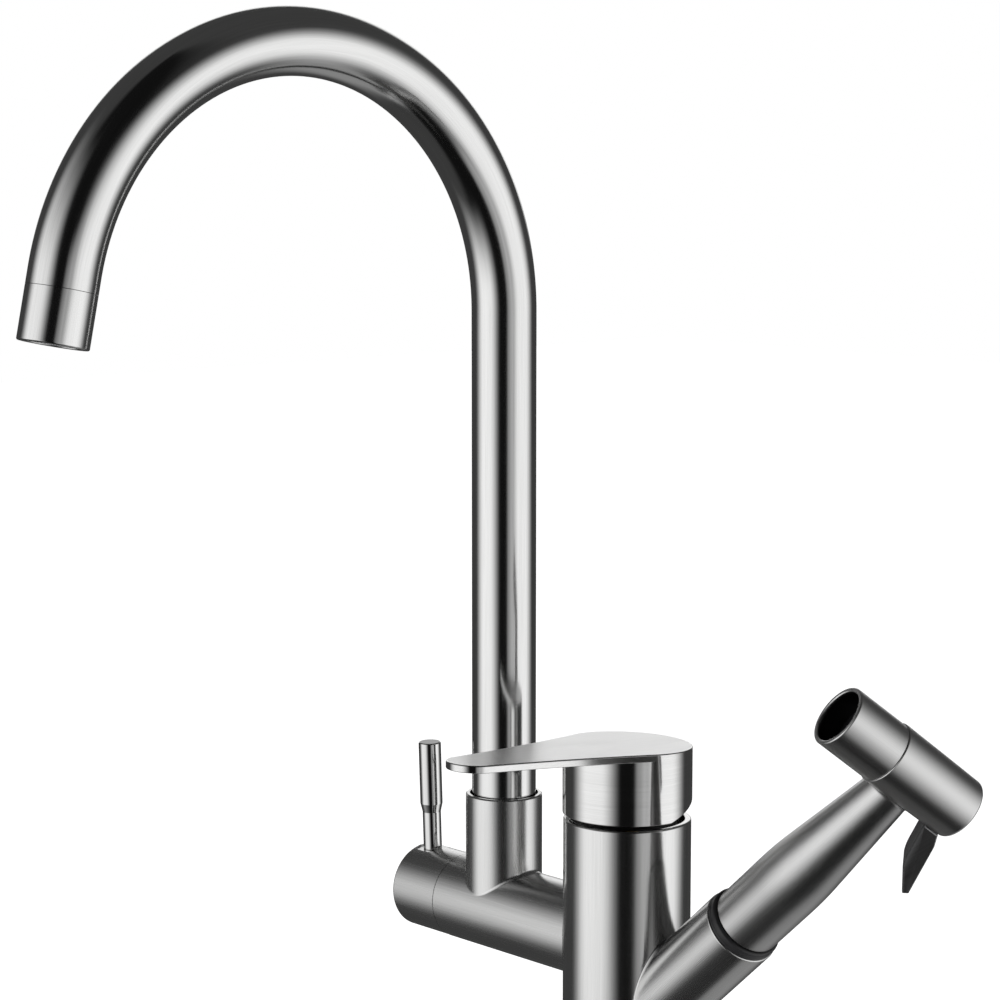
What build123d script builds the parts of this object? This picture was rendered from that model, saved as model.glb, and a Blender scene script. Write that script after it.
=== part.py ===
from build123d import *
from math import atan, cos, radians, sin, sqrt, tan
import os

# Kitchen faucet with a swan-neck spout on a side arm and a pull-out spray gun in a slanted dock.
# Millimetres. The origin is where the body's axis meets the deck, +Z is up, -Y faces the user,
# the side arm points to -X and the spray gun to +X.

os.makedirs("parts", exist_ok=True)

# Clearances
seat_gap = 0.05         # between pieces that are pushed or screwed together
running_gap = 0.07      # between a turning piece and its bearing
moving_gap = 0.35       # between pieces that only pass each other
edge_bevel = 0.5

# Upright body and foot
body_radius = 24.0
body_wall = 2.5
rim_bevel = 0.8
flange_radius = 27.0
flange_height = 6.0
flange_rounding = 2.0
flange_spigot = 10.0
gasket_inner = 20.5
gasket_outer = 25.0
gasket_height = 2.2
shank_radius = 16.0
shank_wall = 2.5
shank_length = 56.0
deck_thickness = 20.0
washer_radius = 25.0
rubber_height = 3.0
washer_height = 2.0
nut_across_flats = 42.0
nut_height = 9.0

# Side arm and spout socket
arm_radius = 16.8
arm_wall = 2.9
arm_height = 82.9
arm_length = 93.1
riser_inset = 23.7       # of the riser's axis inside the arm's mouth
socket_radius = 15.0
socket_wall = 1.6
ledge_rise = 15.7        # of the socket's ledge above the arm's axis
socket_rise = 14.3       # of the socket's rim above the spout's foot
socket_port = 8.0
arm_fillet = 1.4

# Swan-neck spout
spout_radius = 12.5
spout_wall = 1.5
spout_straight = 203.2
bend_radius = 100.6
bend_sweep = 167.8
outlet_straight = 5.7
tip_length = 19.2
tip_spigot = 6.0
fitting_height = 16.4    # from the socket's ledge to the spout's foot
fitting_spigot = 10.0
ring_section = 1.0
slip_height = 5.0

# Aerator
aerator_radius = 9.6
aerator_height = 10.0
aerator_recess = 1.6
jet_radius = 0.7
jet_pitch = 2.3
aerator_washer_height = 1.6

# Diverter in the arm
diverter_lead = 17.4     # of the diverter housing's start before the riser's axis
diverter_inset = 7.1     # of the diverter housing's end inside the arm's mouth
diverter_bore = 10.0
diverter_wall = 4.0
diverter_nut_height = 6.5
diverter_port = 5.0
rotor_length = 24.0
spindle_radius = 4.0
spindle_inset = 5.4      # of the spindle's end inside the cap
cap_radius = 16.7
cap_length = 25.3
cap_solid = 14.0
cap_wall = 2.6
cap_rounding = 0.9
seam_gap = 0.4
pin_inset = 6.4          # of the pin's axis from the cap's end
pin_radius = 3.7
pin_grip_radius = 4.5
pin_cone_start = 31.3
pin_cone_end = 34.8
pin_top = 60.0
pin_thread_radius = 2.4
pin_lean = 2.0
spot_radius = 6.2
spot_depth = 0.9
return_radius = 3.4
return_wall = 0.8
return_drop = 7.6

# Mixer cartridge and its seat
seat_rise = 9.1          # of the cartridge's floor above the arm's axis
seat_depth = 20.0
seat_height = 32.0
cartridge_radius = 17.5
nut_thread_radius = 18.6
cartridge_nut_height = 7.8
nut_bore = 13.8
base_height = 4.0
seal_radius = 3.6
seal_section = 0.9
disc_radius = 12.6
disc_height = 3.4
housing_cavity = 14.2
housing_top_wall = 4.0
neck_radius = 13.5
neck_height = 4.0
carrier_radius = 10.9
carrier_flange = 13.4
carrier_rise = 5.3       # of the carrier's top above the cartridge's shoulder
pivot_inset = 0.2        # of the lift pin's axis below the cartridge's shoulder
rim_rise = 16.0          # of the body's rim above that axis
lift_travel = 20.0
disc_port_inset = 1.94
moving_disc_radius = 9.5
moving_disc_height = 5.2
pocket_radius = 5.8
pocket_centre = 1.8
pocket_depth = 1.2
ball_radius = 2.2
ball_throw = 11.6        # from the lift pin's axis down to the ball's centre
stem_width = 6.0
stem_pin_radius = 1.5
inlet_radius = 4.5
inlet_depth = 10.0
inlet_x = 7.4
inlet_y = -5.0
outlet_y = 7.0
outlet_radius = 3.5
port_radius = 2.7
spray_outlet_y = 8.9
spray_boss_radius = 6.5
seat_relief = 9.5
bonnet_radius = 23.4
bonnet_wall = 1.5
bonnet_hole = 12.0
bonnet_skirt = 20.6

# Handle: cap with a teardrop blade
handle_radius = 24.3
handle_gap = 1.8
handle_height = 28.2
handle_tilt = 2.8
handle_turned = 2.0
handle_wall = 2.2
blade_thickness = 2.8
blade_reach = 74.2
blade_tip_radius = 9.9
blade_side_radius = 450.0
back_cut_slope = 17.0
ceiling_drop = 5.0
hub_radius = 8.0
hub_clearance = 27.0
screw_radius = 2.5
screw_rise = 3.5         # of the handle screw above the hub's foot
plug_radius = 3.2
plug_depth = 1.2

# Slanted dock for the spray gun
dock_drop = 34.6         # of the dock's start below the arm's axis
dock_slope = 42.25
dock_radius = 14.7
dock_wall = 1.5
dock_length = 80.6
hose_port_radius = 11.0
guide_bore = 10.9
guide_inset = 22.0
guide_lip = 3.6
guide_lip_radius = 14.2
guide_rounding = 2.6

# Spray gun grip and swivel
grip_radius = 13.1
grip_wall = 1.5
shoulder_reach = 36.8    # of the grip's shoulder past the dock's mouth
grip_taper = 0.083
grip_curve = 8.0         # length of the soft shoulder on each side of its corner
connector_radius = 10.5
connector_depth = 20.6   # of the connector's foot inside the dock's mouth
connector_neck = 7.0
connector_length = 41.0
connector_bore = 4.0
hose_thread_radius = 7.5
hose_thread_length = 10.0
bush_height = 12.0
clip_height = 1.0
waterway_gap = 1.0
waterway_radius = 4.9
waterway_wall = 1.3
waterway_inset = 17.8    # of the waterway's end below the head's axis

# Spray head
head_reach = 104.2       # of the head's axis past the dock's mouth
head_angle = 79.3        # between the grip's axis and the nozzle
head_roll = 41.7         # of the gun about the dock's axis, from straight to the front
head_radius_front = 11.8
head_radius_rear = 11.3
head_bore = 9.0
head_seam = 11.95
head_back = 24.4
head_back_wall = 3.0
head_rounding = 1.4
head_neck_radius = 6.0
head_inlet_radius = 3.6
sleeve_radius = 11.3
sleeve_front = 34.5
sleeve_bore = 9.65
sleeve_lip = 0.6
sleeve_spigot = 3.0
valve_seat_radius = 3.5
plate_front = 25.5
plate_height = 2.6
washer_step = 0.9
nozzle_gasket_height = 1.0
spray_hole_radius = 0.5

# Valve in the spray head
gland_front = -7.0
gland_height = 4.0
rod_radius = 1.5
button_radius = 3.5
button_height = 1.6
button_gap = 0.5
plunger_radius = 5.4
plunger_height = 2.0
valve_seal_height = 1.2
spring_radius = 3.9
spring_wire = 0.9
spring_turns = 5

# Trigger; the points are (drop below the head's axis, distance behind the head's centre)
trigger_pivot_drop = 6.5
trigger_pivot_back = 15.5
trigger_pin_radius = 1.0
trigger_pin_half = 8.8
trigger_width = 8.0
trigger_slot_length = 8.2
trigger_slot_lag = 1.1      # of the slot's middle behind the pin
fork_width = 7.2
fork_thickness = 3.2
fork_top = 1.5
fork_foot = 5.2
trigger_front = [(10.4, 14.6), (11.0, 17.6), (11.6, 19.1), (26.6, 26.4)]
trigger_knee = [(29.9, 28.3), (32.4, 30.1)]
trigger_tip = [(41.4, 39.0), (42.0, 39.8), (40.4, 41.3)]
trigger_rear = [(18.7, 30.6), (16.9, 29.7), (12.0, 26.3), (12.0, 20.4)]

# Lengths worked out from the sizes above
body_bore = body_radius - body_wall
dock_height = arm_height - dock_drop
socket_ledge = arm_height + ledge_rise
spout_bottom = socket_ledge + fitting_height
socket_top = spout_bottom + socket_rise
bend_start = spout_bottom + spout_straight
seat_floor = arm_height + seat_rise
seat_bottom = seat_floor - seat_depth
seat_top = seat_floor + seat_height
nut_bottom = seat_top - cartridge_nut_height
carrier_top = nut_bottom + carrier_rise
lift_pivot = nut_bottom - pivot_inset
ball_height = lift_pivot - ball_throw
rim_height = lift_pivot + rim_rise
hub_bottom = lift_pivot + hub_clearance
screw_height = hub_bottom + screw_rise
riser_offset = arm_length - riser_inset
diverter_inner = riser_offset - diverter_lead
diverter_outer = arm_length - diverter_inset
cap_end = arm_length + cap_length
spindle_reach = cap_end - spindle_inset
pin_offset = cap_end - pin_inset
grip_start = dock_length + guide_lip + moving_gap
grip_shoulder = dock_length + shoulder_reach
connector_bottom = dock_length - connector_depth
connector_top = connector_bottom + connector_length
waterway_start = connector_top + waterway_gap
head_distance = dock_length + head_reach
waterway_end = head_distance - waterway_inset
arm_bore = arm_radius - arm_wall
socket_bore = socket_radius - socket_wall
spout_bore = spout_radius - spout_wall
shank_bore = shank_radius - shank_wall
dock_bore = dock_radius - dock_wall
top_height = rim_height + handle_height
washer_top = -deck_thickness
clamp_top = washer_top - rubber_height
nut_top = clamp_top - washer_height
housing_bottom = seat_floor + base_height
housing_shoulder = nut_bottom
disc_bottom = housing_bottom + seat_gap
disc_top = disc_bottom + disc_height
moving_disc_bottom = disc_top + seat_gap
moving_disc_top = moving_disc_bottom + moving_disc_height
rotor_start = diverter_outer - rotor_length
plunger_front = head_seam - sleeve_spigot - seat_gap
plunger_back = plunger_front - valve_seal_height - plunger_height
fork_front = fork_thickness / 2 - trigger_pivot_back
fork_back = -fork_thickness / 2 - trigger_pivot_back
button_front = fork_back - button_gap
rod_end = button_front - button_height


# Planes that the pieces are built on; each has its own axis as z
deck = Plane.XY
riser = Plane(origin=(-riser_offset, 0, 0))
arm = Plane(origin=(0, 0, arm_height), x_dir=(0, 0, 1), z_dir=(-1, 0, 0))
dock_turn = radians(dock_slope)
dock = Plane(
    origin=(0, 0, dock_height),
    x_dir=(-sin(dock_turn), 0, cos(dock_turn)),
    z_dir=(cos(dock_turn), 0, sin(dock_turn)),
)
gun_turn = radians(head_roll)
gun_way = dock.y_dir * cos(gun_turn) + dock.x_dir * sin(gun_turn)
head_turn = radians(head_angle)
head = Plane(
    origin=dock.offset(head_distance).origin,
    x_dir=dock.z_dir.cross(gun_way),
    z_dir=dock.z_dir * cos(head_turn) + gun_way * sin(head_turn),
)
head_line = Axis(head.origin, head.z_dir)
lever_turn = radians(handle_turned)
lever_way = Vector(-sin(lever_turn), -cos(lever_turn), 0)
lever_side = Vector(cos(lever_turn), -sin(lever_turn), 0)
lever = Plane(origin=(0, 0, lift_pivot), x_dir=lever_way, z_dir=(0, 0, 1))
lever_section = Plane(origin=(0, 0, 0), x_dir=lever_way, z_dir=lever_side * -1)
pin_turn = radians(pin_lean)
pin_axis = Plane(
    origin=(-pin_offset, 0, arm_height),
    x_dir=(1, 0, 0),
    z_dir=(0, -sin(pin_turn), cos(pin_turn)),
)
outlet_turn = radians(bend_sweep)
outlet_way = Vector(0, -sin(outlet_turn), cos(outlet_turn))
bend_end = Vector(
    -riser_offset,
    -bend_radius * (1 - cos(outlet_turn)),
    bend_start + bend_radius * sin(outlet_turn),
)
tip_joint = Plane(origin=bend_end + outlet_way * outlet_straight, x_dir=(1, 0, 0), z_dir=outlet_way)


# Helpers that work inside the block that is open

def bar(plane, radius, low, high, mode=Mode.ADD):
    with BuildSketch(plane.offset(low)) as disc:
        Circle(radius)
    extrude(disc.sketch, amount=high - low, mode=mode)


def bush(plane, outer, inner, low, high):
    with BuildSketch(plane.offset(low)) as band:
        Circle(outer)
        Circle(inner, mode=Mode.SUBTRACT)
    extrude(band.sketch, amount=high - low)


def turned(plane, *outline, mode=Mode.ADD):
    # outline: (radius, height) points
    half = Plane(origin=plane.origin, x_dir=plane.x_dir, z_dir=plane.y_dir * -1)
    with BuildSketch(half) as profile:
        with BuildLine():
            Polyline(*outline, close=True)
        make_face()
    revolve(profile.sketch, axis=Axis(plane.origin, plane.z_dir), mode=mode)


def groove(plane, radius, depth, low, high):
    # a ring-shaped cut into a round outside
    with BuildSketch(plane.offset(low)) as band:
        Circle(radius + 1)
        Circle(radius - depth, mode=Mode.SUBTRACT)
    extrude(band.sketch, amount=high - low, mode=Mode.SUBTRACT)


def ring(plane, radius, section, height):
    # a rubber ring of round section
    half = Plane(origin=plane.origin, x_dir=plane.x_dir, z_dir=plane.y_dir * -1)
    with BuildSketch(half) as profile:
        with Locations((radius, height)):
            Circle(section)
    revolve(profile.sketch, axis=Axis(plane.origin, plane.z_dir))


def mirrored(point):
    return Vector(point.X, -point.Y, 0)


# Foot: flange, gasket, shank and the clamp set under the deck

with BuildPart() as base_flange:
    turned(
        deck,
        (shank_radius + seat_gap, 0),
        (flange_radius, 0),
        (flange_radius, flange_height),
        (body_bore - seat_gap, flange_height),
        (body_bore - seat_gap, flange_height + flange_spigot),
        (shank_radius + seat_gap, flange_height + flange_spigot),
    )
    fillet(base_flange.edges().filter_by(lambda e: e.geom_type == GeomType.CIRCLE
           and abs(e.radius - flange_radius) < 0.01 and e.center().Z > 1), flange_rounding)
    with BuildSketch(deck):
        Circle(gasket_outer)
        Circle(gasket_inner, mode=Mode.SUBTRACT)
    extrude(amount=gasket_height, mode=Mode.SUBTRACT)

with BuildPart() as base_gasket:
    bush(deck, gasket_outer - seat_gap, gasket_inner + seat_gap, 0, gasket_height - seat_gap)

with BuildPart() as mounting_shank:
    bush(deck, shank_radius, shank_bore, -shank_length, flange_height + flange_spigot - edge_bevel)
    chamfer(mounting_shank.faces().sort_by(Axis.Z)[0].outer_wire().edges(), edge_bevel)

with BuildPart() as rubber_washer:
    bush(deck, washer_radius, shank_radius + seat_gap, clamp_top, washer_top)

with BuildPart() as clamp_washer:
    bush(deck, washer_radius, shank_radius + seat_gap, nut_top, clamp_top)

with BuildPart() as lock_nut:
    with BuildSketch(deck.offset(nut_top - nut_height)):
        RegularPolygon(nut_across_flats / 2, 6, major_radius=False)
        Circle(shank_radius + seat_gap, mode=Mode.SUBTRACT)
    extrude(amount=nut_height)
    chamfer(lock_nut.faces().sort_by(Axis.Z)[0].outer_wire().edges(), edge_bevel)

# Upright body with its ports

with BuildPart() as main_body:
    bush(deck, body_radius, body_bore, flange_height, rim_height)
    chamfer(main_body.faces().sort_by(Axis.Z)[-1].edges(), rim_bevel)
    bar(arm, arm_bore - 1, 0, body_radius + 1, mode=Mode.SUBTRACT)
    bar(dock, hose_port_radius, 0, dock_length, mode=Mode.SUBTRACT)

with BuildPart() as dock_tube:
    bush(dock, dock_radius, dock_bore, seat_gap, dock_length)
    chamfer(dock_tube.faces().sort_by(Axis.Z)[-1].edges(), edge_bevel)
    bar(deck, body_radius, 0, rim_height, mode=Mode.SUBTRACT)

with BuildPart() as dock_guide:
    turned(
        dock,
        (guide_bore, dock_length - guide_inset),
        (dock_bore - seat_gap, dock_length - guide_inset),
        (dock_bore - seat_gap, dock_length),
        (guide_lip_radius, dock_length),
        (guide_lip_radius, dock_length + guide_lip),
        (guide_bore, dock_length + guide_lip),
    )
    fillet(dock_guide.edges().filter_by(lambda e: e.geom_type == GeomType.CIRCLE
           and abs(e.radius - guide_lip_radius) < 0.01).sort_by(Axis.Z)[-1], guide_rounding)

# Side arm with the spout socket, one casting

with BuildPart() as side_arm:
    bar(arm, arm_radius, body_radius / 2, arm_length)
    bar(riser, socket_radius, arm_height, socket_top)
    fillet(side_arm.edges().filter_by(lambda e: e.geom_type not in (GeomType.CIRCLE, GeomType.LINE)), arm_fillet)
    chamfer(side_arm.faces().sort_by(Axis.Z)[-1].edges(), edge_bevel)
    bar(deck, body_radius, 0, rim_height, mode=Mode.SUBTRACT)
    bar(arm, arm_bore, body_radius / 2, arm_length, mode=Mode.SUBTRACT)
    bar(riser, socket_bore, socket_ledge, socket_top, mode=Mode.SUBTRACT)
    bar(riser, socket_port, arm_height, socket_ledge, mode=Mode.SUBTRACT)
    screw_line = Plane(origin=(-riser_offset, 0, (socket_ledge + spout_bottom) / 2), z_dir=(0, 1, 0))
    bar(screw_line, screw_radius, 0, socket_radius + 1, mode=Mode.SUBTRACT)

# Spout: bent tube, fitting with its rings, tip sleeve and aerator

with BuildPart() as spout_tube:
    with BuildLine() as spout_path:
        foot = Vector(-riser_offset, 0, spout_bottom)
        start = Vector(-riser_offset, 0, bend_start)
        half_turn = outlet_turn / 2
        crown = Vector(-riser_offset, -bend_radius * (1 - cos(half_turn)), bend_start + bend_radius * sin(half_turn))
        Line(foot, start)
        ThreePointArc(start, crown, bend_end)
        Line(bend_end, tip_joint.origin)
    with BuildSketch(riser.offset(spout_bottom)):
        Circle(spout_radius)
        Circle(spout_bore, mode=Mode.SUBTRACT)
    sweep(path=spout_path.wire())

fitting_bottom = socket_ledge + moving_gap
fitting_radius = socket_bore - running_gap
screw_height_socket = screw_line.origin.Z
lower_ring = fitting_bottom + 2 * ring_section
upper_ring = spout_bottom - 2 * ring_section
ring_seat = 2 * ring_section - seat_gap

with BuildPart() as spout_fitting:
    turned(
        riser,
        (socket_port, fitting_bottom),
        (fitting_radius, fitting_bottom),
        (fitting_radius, spout_bottom - seat_gap),
        (spout_bore - seat_gap, spout_bottom - seat_gap),
        (spout_bore - seat_gap, spout_bottom + fitting_spigot),
        (socket_port, spout_bottom + fitting_spigot),
    )
    for height in (lower_ring, upper_ring):
        groove(riser, fitting_radius, ring_seat, height - ring_section - seat_gap, height + ring_section + seat_gap)
    groove(
        riser,
        fitting_radius,
        ring_seat,
        screw_height_socket - screw_radius - moving_gap,
        screw_height_socket + screw_radius + moving_gap,
    )

with BuildPart() as spout_o_rings:
    for height in (lower_ring, upper_ring):
        ring(riser, fitting_radius - ring_section, ring_section - seat_gap, height)

with BuildPart() as slip_ring:
    bush(
        riser,
        socket_bore - running_gap,
        spout_radius + seat_gap,
        spout_bottom,
        spout_bottom + slip_height,
    )

with BuildPart() as spout_screw:
    bar(
        screw_line,
        screw_radius - seat_gap,
        fitting_radius - ring_seat + moving_gap,
        socket_radius - edge_bevel,
    )

with BuildPart() as tip_sleeve:
    bush(tip_joint, spout_radius, aerator_radius + seat_gap, seat_gap, tip_length)
    bush(tip_joint, spout_bore - seat_gap, aerator_radius + seat_gap, -tip_spigot, seat_gap)
    chamfer(tip_sleeve.faces().sort_by(Axis.Z)[0].edges(), edge_bevel)

aerator_bottom = tip_length - aerator_recess

with BuildPart() as aerator_insert:
    bar(tip_joint, aerator_radius, aerator_bottom - aerator_height, aerator_bottom)
    with BuildSketch(tip_joint.offset(aerator_bottom - aerator_height)):
        with HexLocations(jet_pitch / sqrt(3), 5, 5):
            Circle(jet_radius)
    extrude(amount=aerator_height, mode=Mode.SUBTRACT)

with BuildPart() as aerator_washer:
    bush(
        tip_joint,
        aerator_radius,
        aerator_radius - 3 * aerator_washer_height,
        aerator_bottom - aerator_height - aerator_washer_height,
        aerator_bottom - aerator_height,
    )

# Diverter: housing, nut, rings and return tube stay in the arm

with BuildPart() as diverter_housing:
    bar(arm, arm_bore - seat_gap, diverter_inner, diverter_outer)
    bar(arm, diverter_bore, diverter_inner + diverter_wall, diverter_outer, mode=Mode.SUBTRACT)
    bar(riser, diverter_port, arm_height, socket_ledge, mode=Mode.SUBTRACT)
    with BuildSketch(arm.offset(diverter_inner)):
        with Locations((return_drop, 0), (-return_drop, 0)):
            Circle(return_radius + seat_gap)
    extrude(amount=diverter_wall, mode=Mode.SUBTRACT)
    for height in (diverter_inner + 3, diverter_outer - 4):
        groove(arm, arm_bore - seat_gap, 2 * seal_section - seat_gap, height - seal_section, height + seal_section)

with BuildPart() as diverter_o_rings:
    for height in (diverter_inner + 3, diverter_outer - 4):
        ring(arm, arm_bore - seal_section - seat_gap, seal_section - seat_gap, height)

with BuildPart() as diverter_nut:
    bush(
        arm,
        arm_bore - seat_gap,
        spindle_radius + running_gap,
        diverter_outer + seat_gap,
        diverter_outer + diverter_nut_height,
    )

return_line = Plane(origin=(0, 0, arm_height - return_drop), x_dir=(0, 0, 1), z_dir=(-1, 0, 0))

with BuildPart() as return_tube:
    bush(
        return_line,
        return_radius,
        return_radius - return_wall,
        body_bore - 3,
        diverter_inner + diverter_wall - seat_gap,
    )

with BuildPart() as diverter_spindle:
    bar(arm, diverter_bore - running_gap, rotor_start, diverter_outer - moving_gap)
    with BuildSketch(arm.offset(rotor_start)):
        with Locations((0, 0)):
            Rectangle(2 * diverter_port, 2 * diverter_bore)
    extrude(amount=rotor_length / 2, mode=Mode.SUBTRACT)
    bar(arm, spindle_radius, rotor_start, spindle_reach)

with BuildPart() as diverter_cap:
    bar(arm, cap_radius, arm_length + seam_gap, cap_end)
    fillet(diverter_cap.edges().sort_by(Axis.X)[0], cap_rounding)
    bar(arm, cap_radius - cap_wall, arm_length + seam_gap, cap_end - cap_solid, mode=Mode.SUBTRACT)
    bar(arm, spindle_radius + seat_gap, arm_length, spindle_reach + seat_gap, mode=Mode.SUBTRACT)
    bar(pin_axis, spot_radius, cap_radius - spot_depth, cap_radius + 1, mode=Mode.SUBTRACT)
    bar(pin_axis, pin_thread_radius + seat_gap, 0, cap_radius, mode=Mode.SUBTRACT)

with BuildPart() as pin_lever:
    turned(
        pin_axis,
        (0, spindle_radius + seat_gap),
        (pin_thread_radius, spindle_radius + seat_gap),
        (pin_thread_radius, cap_radius - spot_depth),
        (pin_radius, cap_radius - spot_depth),
        (pin_radius, pin_cone_start),
        (pin_grip_radius, pin_cone_end),
        (pin_grip_radius, pin_top - edge_bevel),
        (pin_grip_radius - edge_bevel, pin_top),
        (0, pin_top),
    )

# Cartridge seat: brass insert with two inlets, the way to the arm and the way back to the spray

inlet_spots = [(-inlet_x, inlet_y), (inlet_x, inlet_y)]
port_spots = [*inlet_spots, (0, outlet_y)]
channel_height = arm_height + outlet_radius
return_height = arm_height - return_drop
spray_thread_bottom = seat_bottom - inlet_depth

with BuildPart() as cartridge_seat:
    bar(deck, body_bore - seat_gap, seat_bottom, seat_top)
    bar(Plane(origin=(0, spray_outlet_y, 0)), spray_boss_radius, spray_thread_bottom, seat_bottom)
    bar(deck, cartridge_radius + seat_gap, seat_floor, seat_top, mode=Mode.SUBTRACT)
    bar(deck, nut_thread_radius + seat_gap, nut_bottom, seat_top, mode=Mode.SUBTRACT)
    for x, y in inlet_spots:
        bar(Plane(origin=(x, y, 0)), inlet_radius, seat_bottom, seat_bottom + inlet_depth, mode=Mode.SUBTRACT)
        bar(Plane(origin=(x, y, 0)), outlet_radius, seat_bottom, seat_floor, mode=Mode.SUBTRACT)
    bar(Plane(origin=(0, outlet_y, 0)), outlet_radius, channel_height, seat_floor, mode=Mode.SUBTRACT)
    spray_line = Plane(origin=(0, spray_outlet_y, 0))
    bar(spray_line, inlet_radius, spray_thread_bottom, seat_bottom, mode=Mode.SUBTRACT)
    bar(spray_line, port_radius, seat_bottom, return_height, mode=Mode.SUBTRACT)
    for spot, height, radius in ((outlet_y, channel_height, outlet_radius), (spray_outlet_y, return_height, port_radius)):
        way = Vector(-body_radius, -spot, 0)
        bar(Plane(origin=(0, spot, height), z_dir=way), radius, 0, way.length, mode=Mode.SUBTRACT)
    bar(return_line, return_radius + seat_gap, body_bore - 3, body_radius, mode=Mode.SUBTRACT)
    bar(dock, seat_relief, 0, dock_length, mode=Mode.SUBTRACT)

# Mixer cartridge, the pieces that stand still

with BuildPart() as cartridge_base:
    with BuildSketch(deck.offset(seat_floor + seat_gap)):
        Circle(cartridge_radius)
        with Locations(*port_spots):
            Circle(port_radius, mode=Mode.SUBTRACT)
    extrude(amount=base_height - seat_gap)
    with BuildSketch(deck.offset(seat_floor)):
        with Locations(*port_spots):
            Circle(seal_radius + seal_section)
    extrude(amount=2 * seal_section, mode=Mode.SUBTRACT)

with BuildPart() as cartridge_seals:
    for spot in port_spots:
        ring(Plane(origin=(spot[0], spot[1], seat_floor)), seal_radius - seat_gap, seal_section - seat_gap, seal_section)

with BuildPart() as fixed_disc:
    with BuildSketch(deck.offset(disc_bottom)):
        Circle(disc_radius)
        inward = 1 - disc_port_inset / sqrt(inlet_x**2 + inlet_y**2)
        with Locations(*[(x * inward, y * inward) for x, y in inlet_spots]):
            Circle(port_radius - edge_bevel, mode=Mode.SUBTRACT)
        with Locations((0, outlet_y - port_radius / 2 - edge_bevel)):
            SlotOverall(3 * port_radius, 2 * port_radius, rotation=90, mode=Mode.SUBTRACT)
    extrude(amount=disc_height)

with BuildPart() as cartridge_housing:
    turned(
        deck,
        (housing_cavity, housing_bottom + seat_gap),
        (cartridge_radius, housing_bottom + seat_gap),
        (cartridge_radius, housing_shoulder - seat_gap),
        (neck_radius, housing_shoulder - seat_gap),
        (neck_radius, housing_shoulder + neck_height),
        (carrier_radius + running_gap, housing_shoulder + neck_height),
        (carrier_radius + running_gap, housing_shoulder - housing_top_wall),
        (housing_cavity, housing_shoulder - housing_top_wall),
    )

with BuildPart() as cartridge_nut:
    bush(deck, nut_thread_radius, nut_bore, nut_bottom, seat_top)
    with BuildSketch(deck.offset(seat_top - 3)):
        with PolarLocations((nut_thread_radius + nut_bore) / 2, 6):
            Rectangle(nut_thread_radius - nut_bore + 2, 3)
    extrude(amount=4, mode=Mode.SUBTRACT)

bonnet_edge = lift_pivot + sqrt(bonnet_radius**2 - bonnet_skirt**2)

with BuildPart() as bonnet_ring:
    with BuildSketch(Plane.XZ):
        with Locations((0, lift_pivot)):
            Circle(bonnet_radius)
            Circle(bonnet_radius - bonnet_wall, mode=Mode.SUBTRACT)
        with Locations(((bonnet_hole + bonnet_skirt) / 2, (bonnet_edge + rim_height + bonnet_wall) / 2 + bonnet_wall)):
            Rectangle(bonnet_skirt - bonnet_hole, rim_height - bonnet_edge + 6 * bonnet_wall, mode=Mode.INTERSECT)
    revolve(axis=Axis.Z)
    bush(deck, bonnet_skirt, bonnet_skirt - bonnet_wall, seat_top, bonnet_edge + bonnet_wall / 2)

# Mixer cartridge, the pieces that move

carrier_bottom = moving_disc_top + moving_gap
slot_back = stem_width / 2 + moving_gap + (carrier_top - lift_pivot) * sin(radians(lift_travel))
slot_front = stem_width / 2 + moving_gap + (lift_pivot - carrier_bottom) * sin(radians(lift_travel))

with BuildPart() as cartridge_carrier:
    bar(deck, carrier_radius, carrier_bottom, carrier_top)
    bar(deck, carrier_flange, carrier_bottom, housing_shoulder - housing_top_wall - moving_gap)
    with BuildSketch(Plane(origin=(0, 0, carrier_bottom), x_dir=lever_way, z_dir=(0, 0, 1))):
        with Locations(((slot_front - slot_back) / 2, 0)):
            Rectangle(slot_front + slot_back, stem_width + 2 * moving_gap)
    extrude(amount=carrier_top - carrier_bottom, mode=Mode.SUBTRACT)
    lift_axis = Plane(origin=(0, 0, lift_pivot), x_dir=(0, 0, 1), z_dir=lever_side)
    bar(lift_axis, stem_pin_radius + seat_gap, -carrier_radius, carrier_radius, mode=Mode.SUBTRACT)

with BuildPart() as stem_pin:
    bar(lift_axis, stem_pin_radius, -carrier_radius + seat_gap * 4, carrier_radius - seat_gap * 4)

with BuildPart() as moving_disc:
    bar(deck, moving_disc_radius, moving_disc_bottom, moving_disc_top)
    pocket = lever.offset(moving_disc_bottom - lift_pivot)
    bar(Plane(origin=pocket.from_local_coords((-pocket_centre, 0, 0))), pocket_radius, 0, pocket_depth, mode=Mode.SUBTRACT)
    bar(deck, ball_radius + moving_gap + 2 * seat_gap, ball_height - ball_radius - moving_gap, moving_disc_top, mode=Mode.SUBTRACT)

stem_top = hub_bottom + hub_radius

with BuildPart() as cartridge_stem:
    with BuildSketch(Plane(origin=(0, 0, ball_height + ball_radius), x_dir=lever_way, z_dir=(0, 0, 1))):
        Rectangle(stem_width, stem_width)
    extrude(amount=stem_top - ball_height - ball_radius)
    bar(deck, ball_radius * 0.75, ball_height, ball_height + ball_radius)
    with Locations((0, 0, ball_height)):
        Sphere(ball_radius)
    bar(lift_axis, stem_pin_radius + running_gap, -stem_width, stem_width, mode=Mode.SUBTRACT)

# Handle: round cap and teardrop blade, tilted top, hollow inside with a hub for the stem

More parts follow.
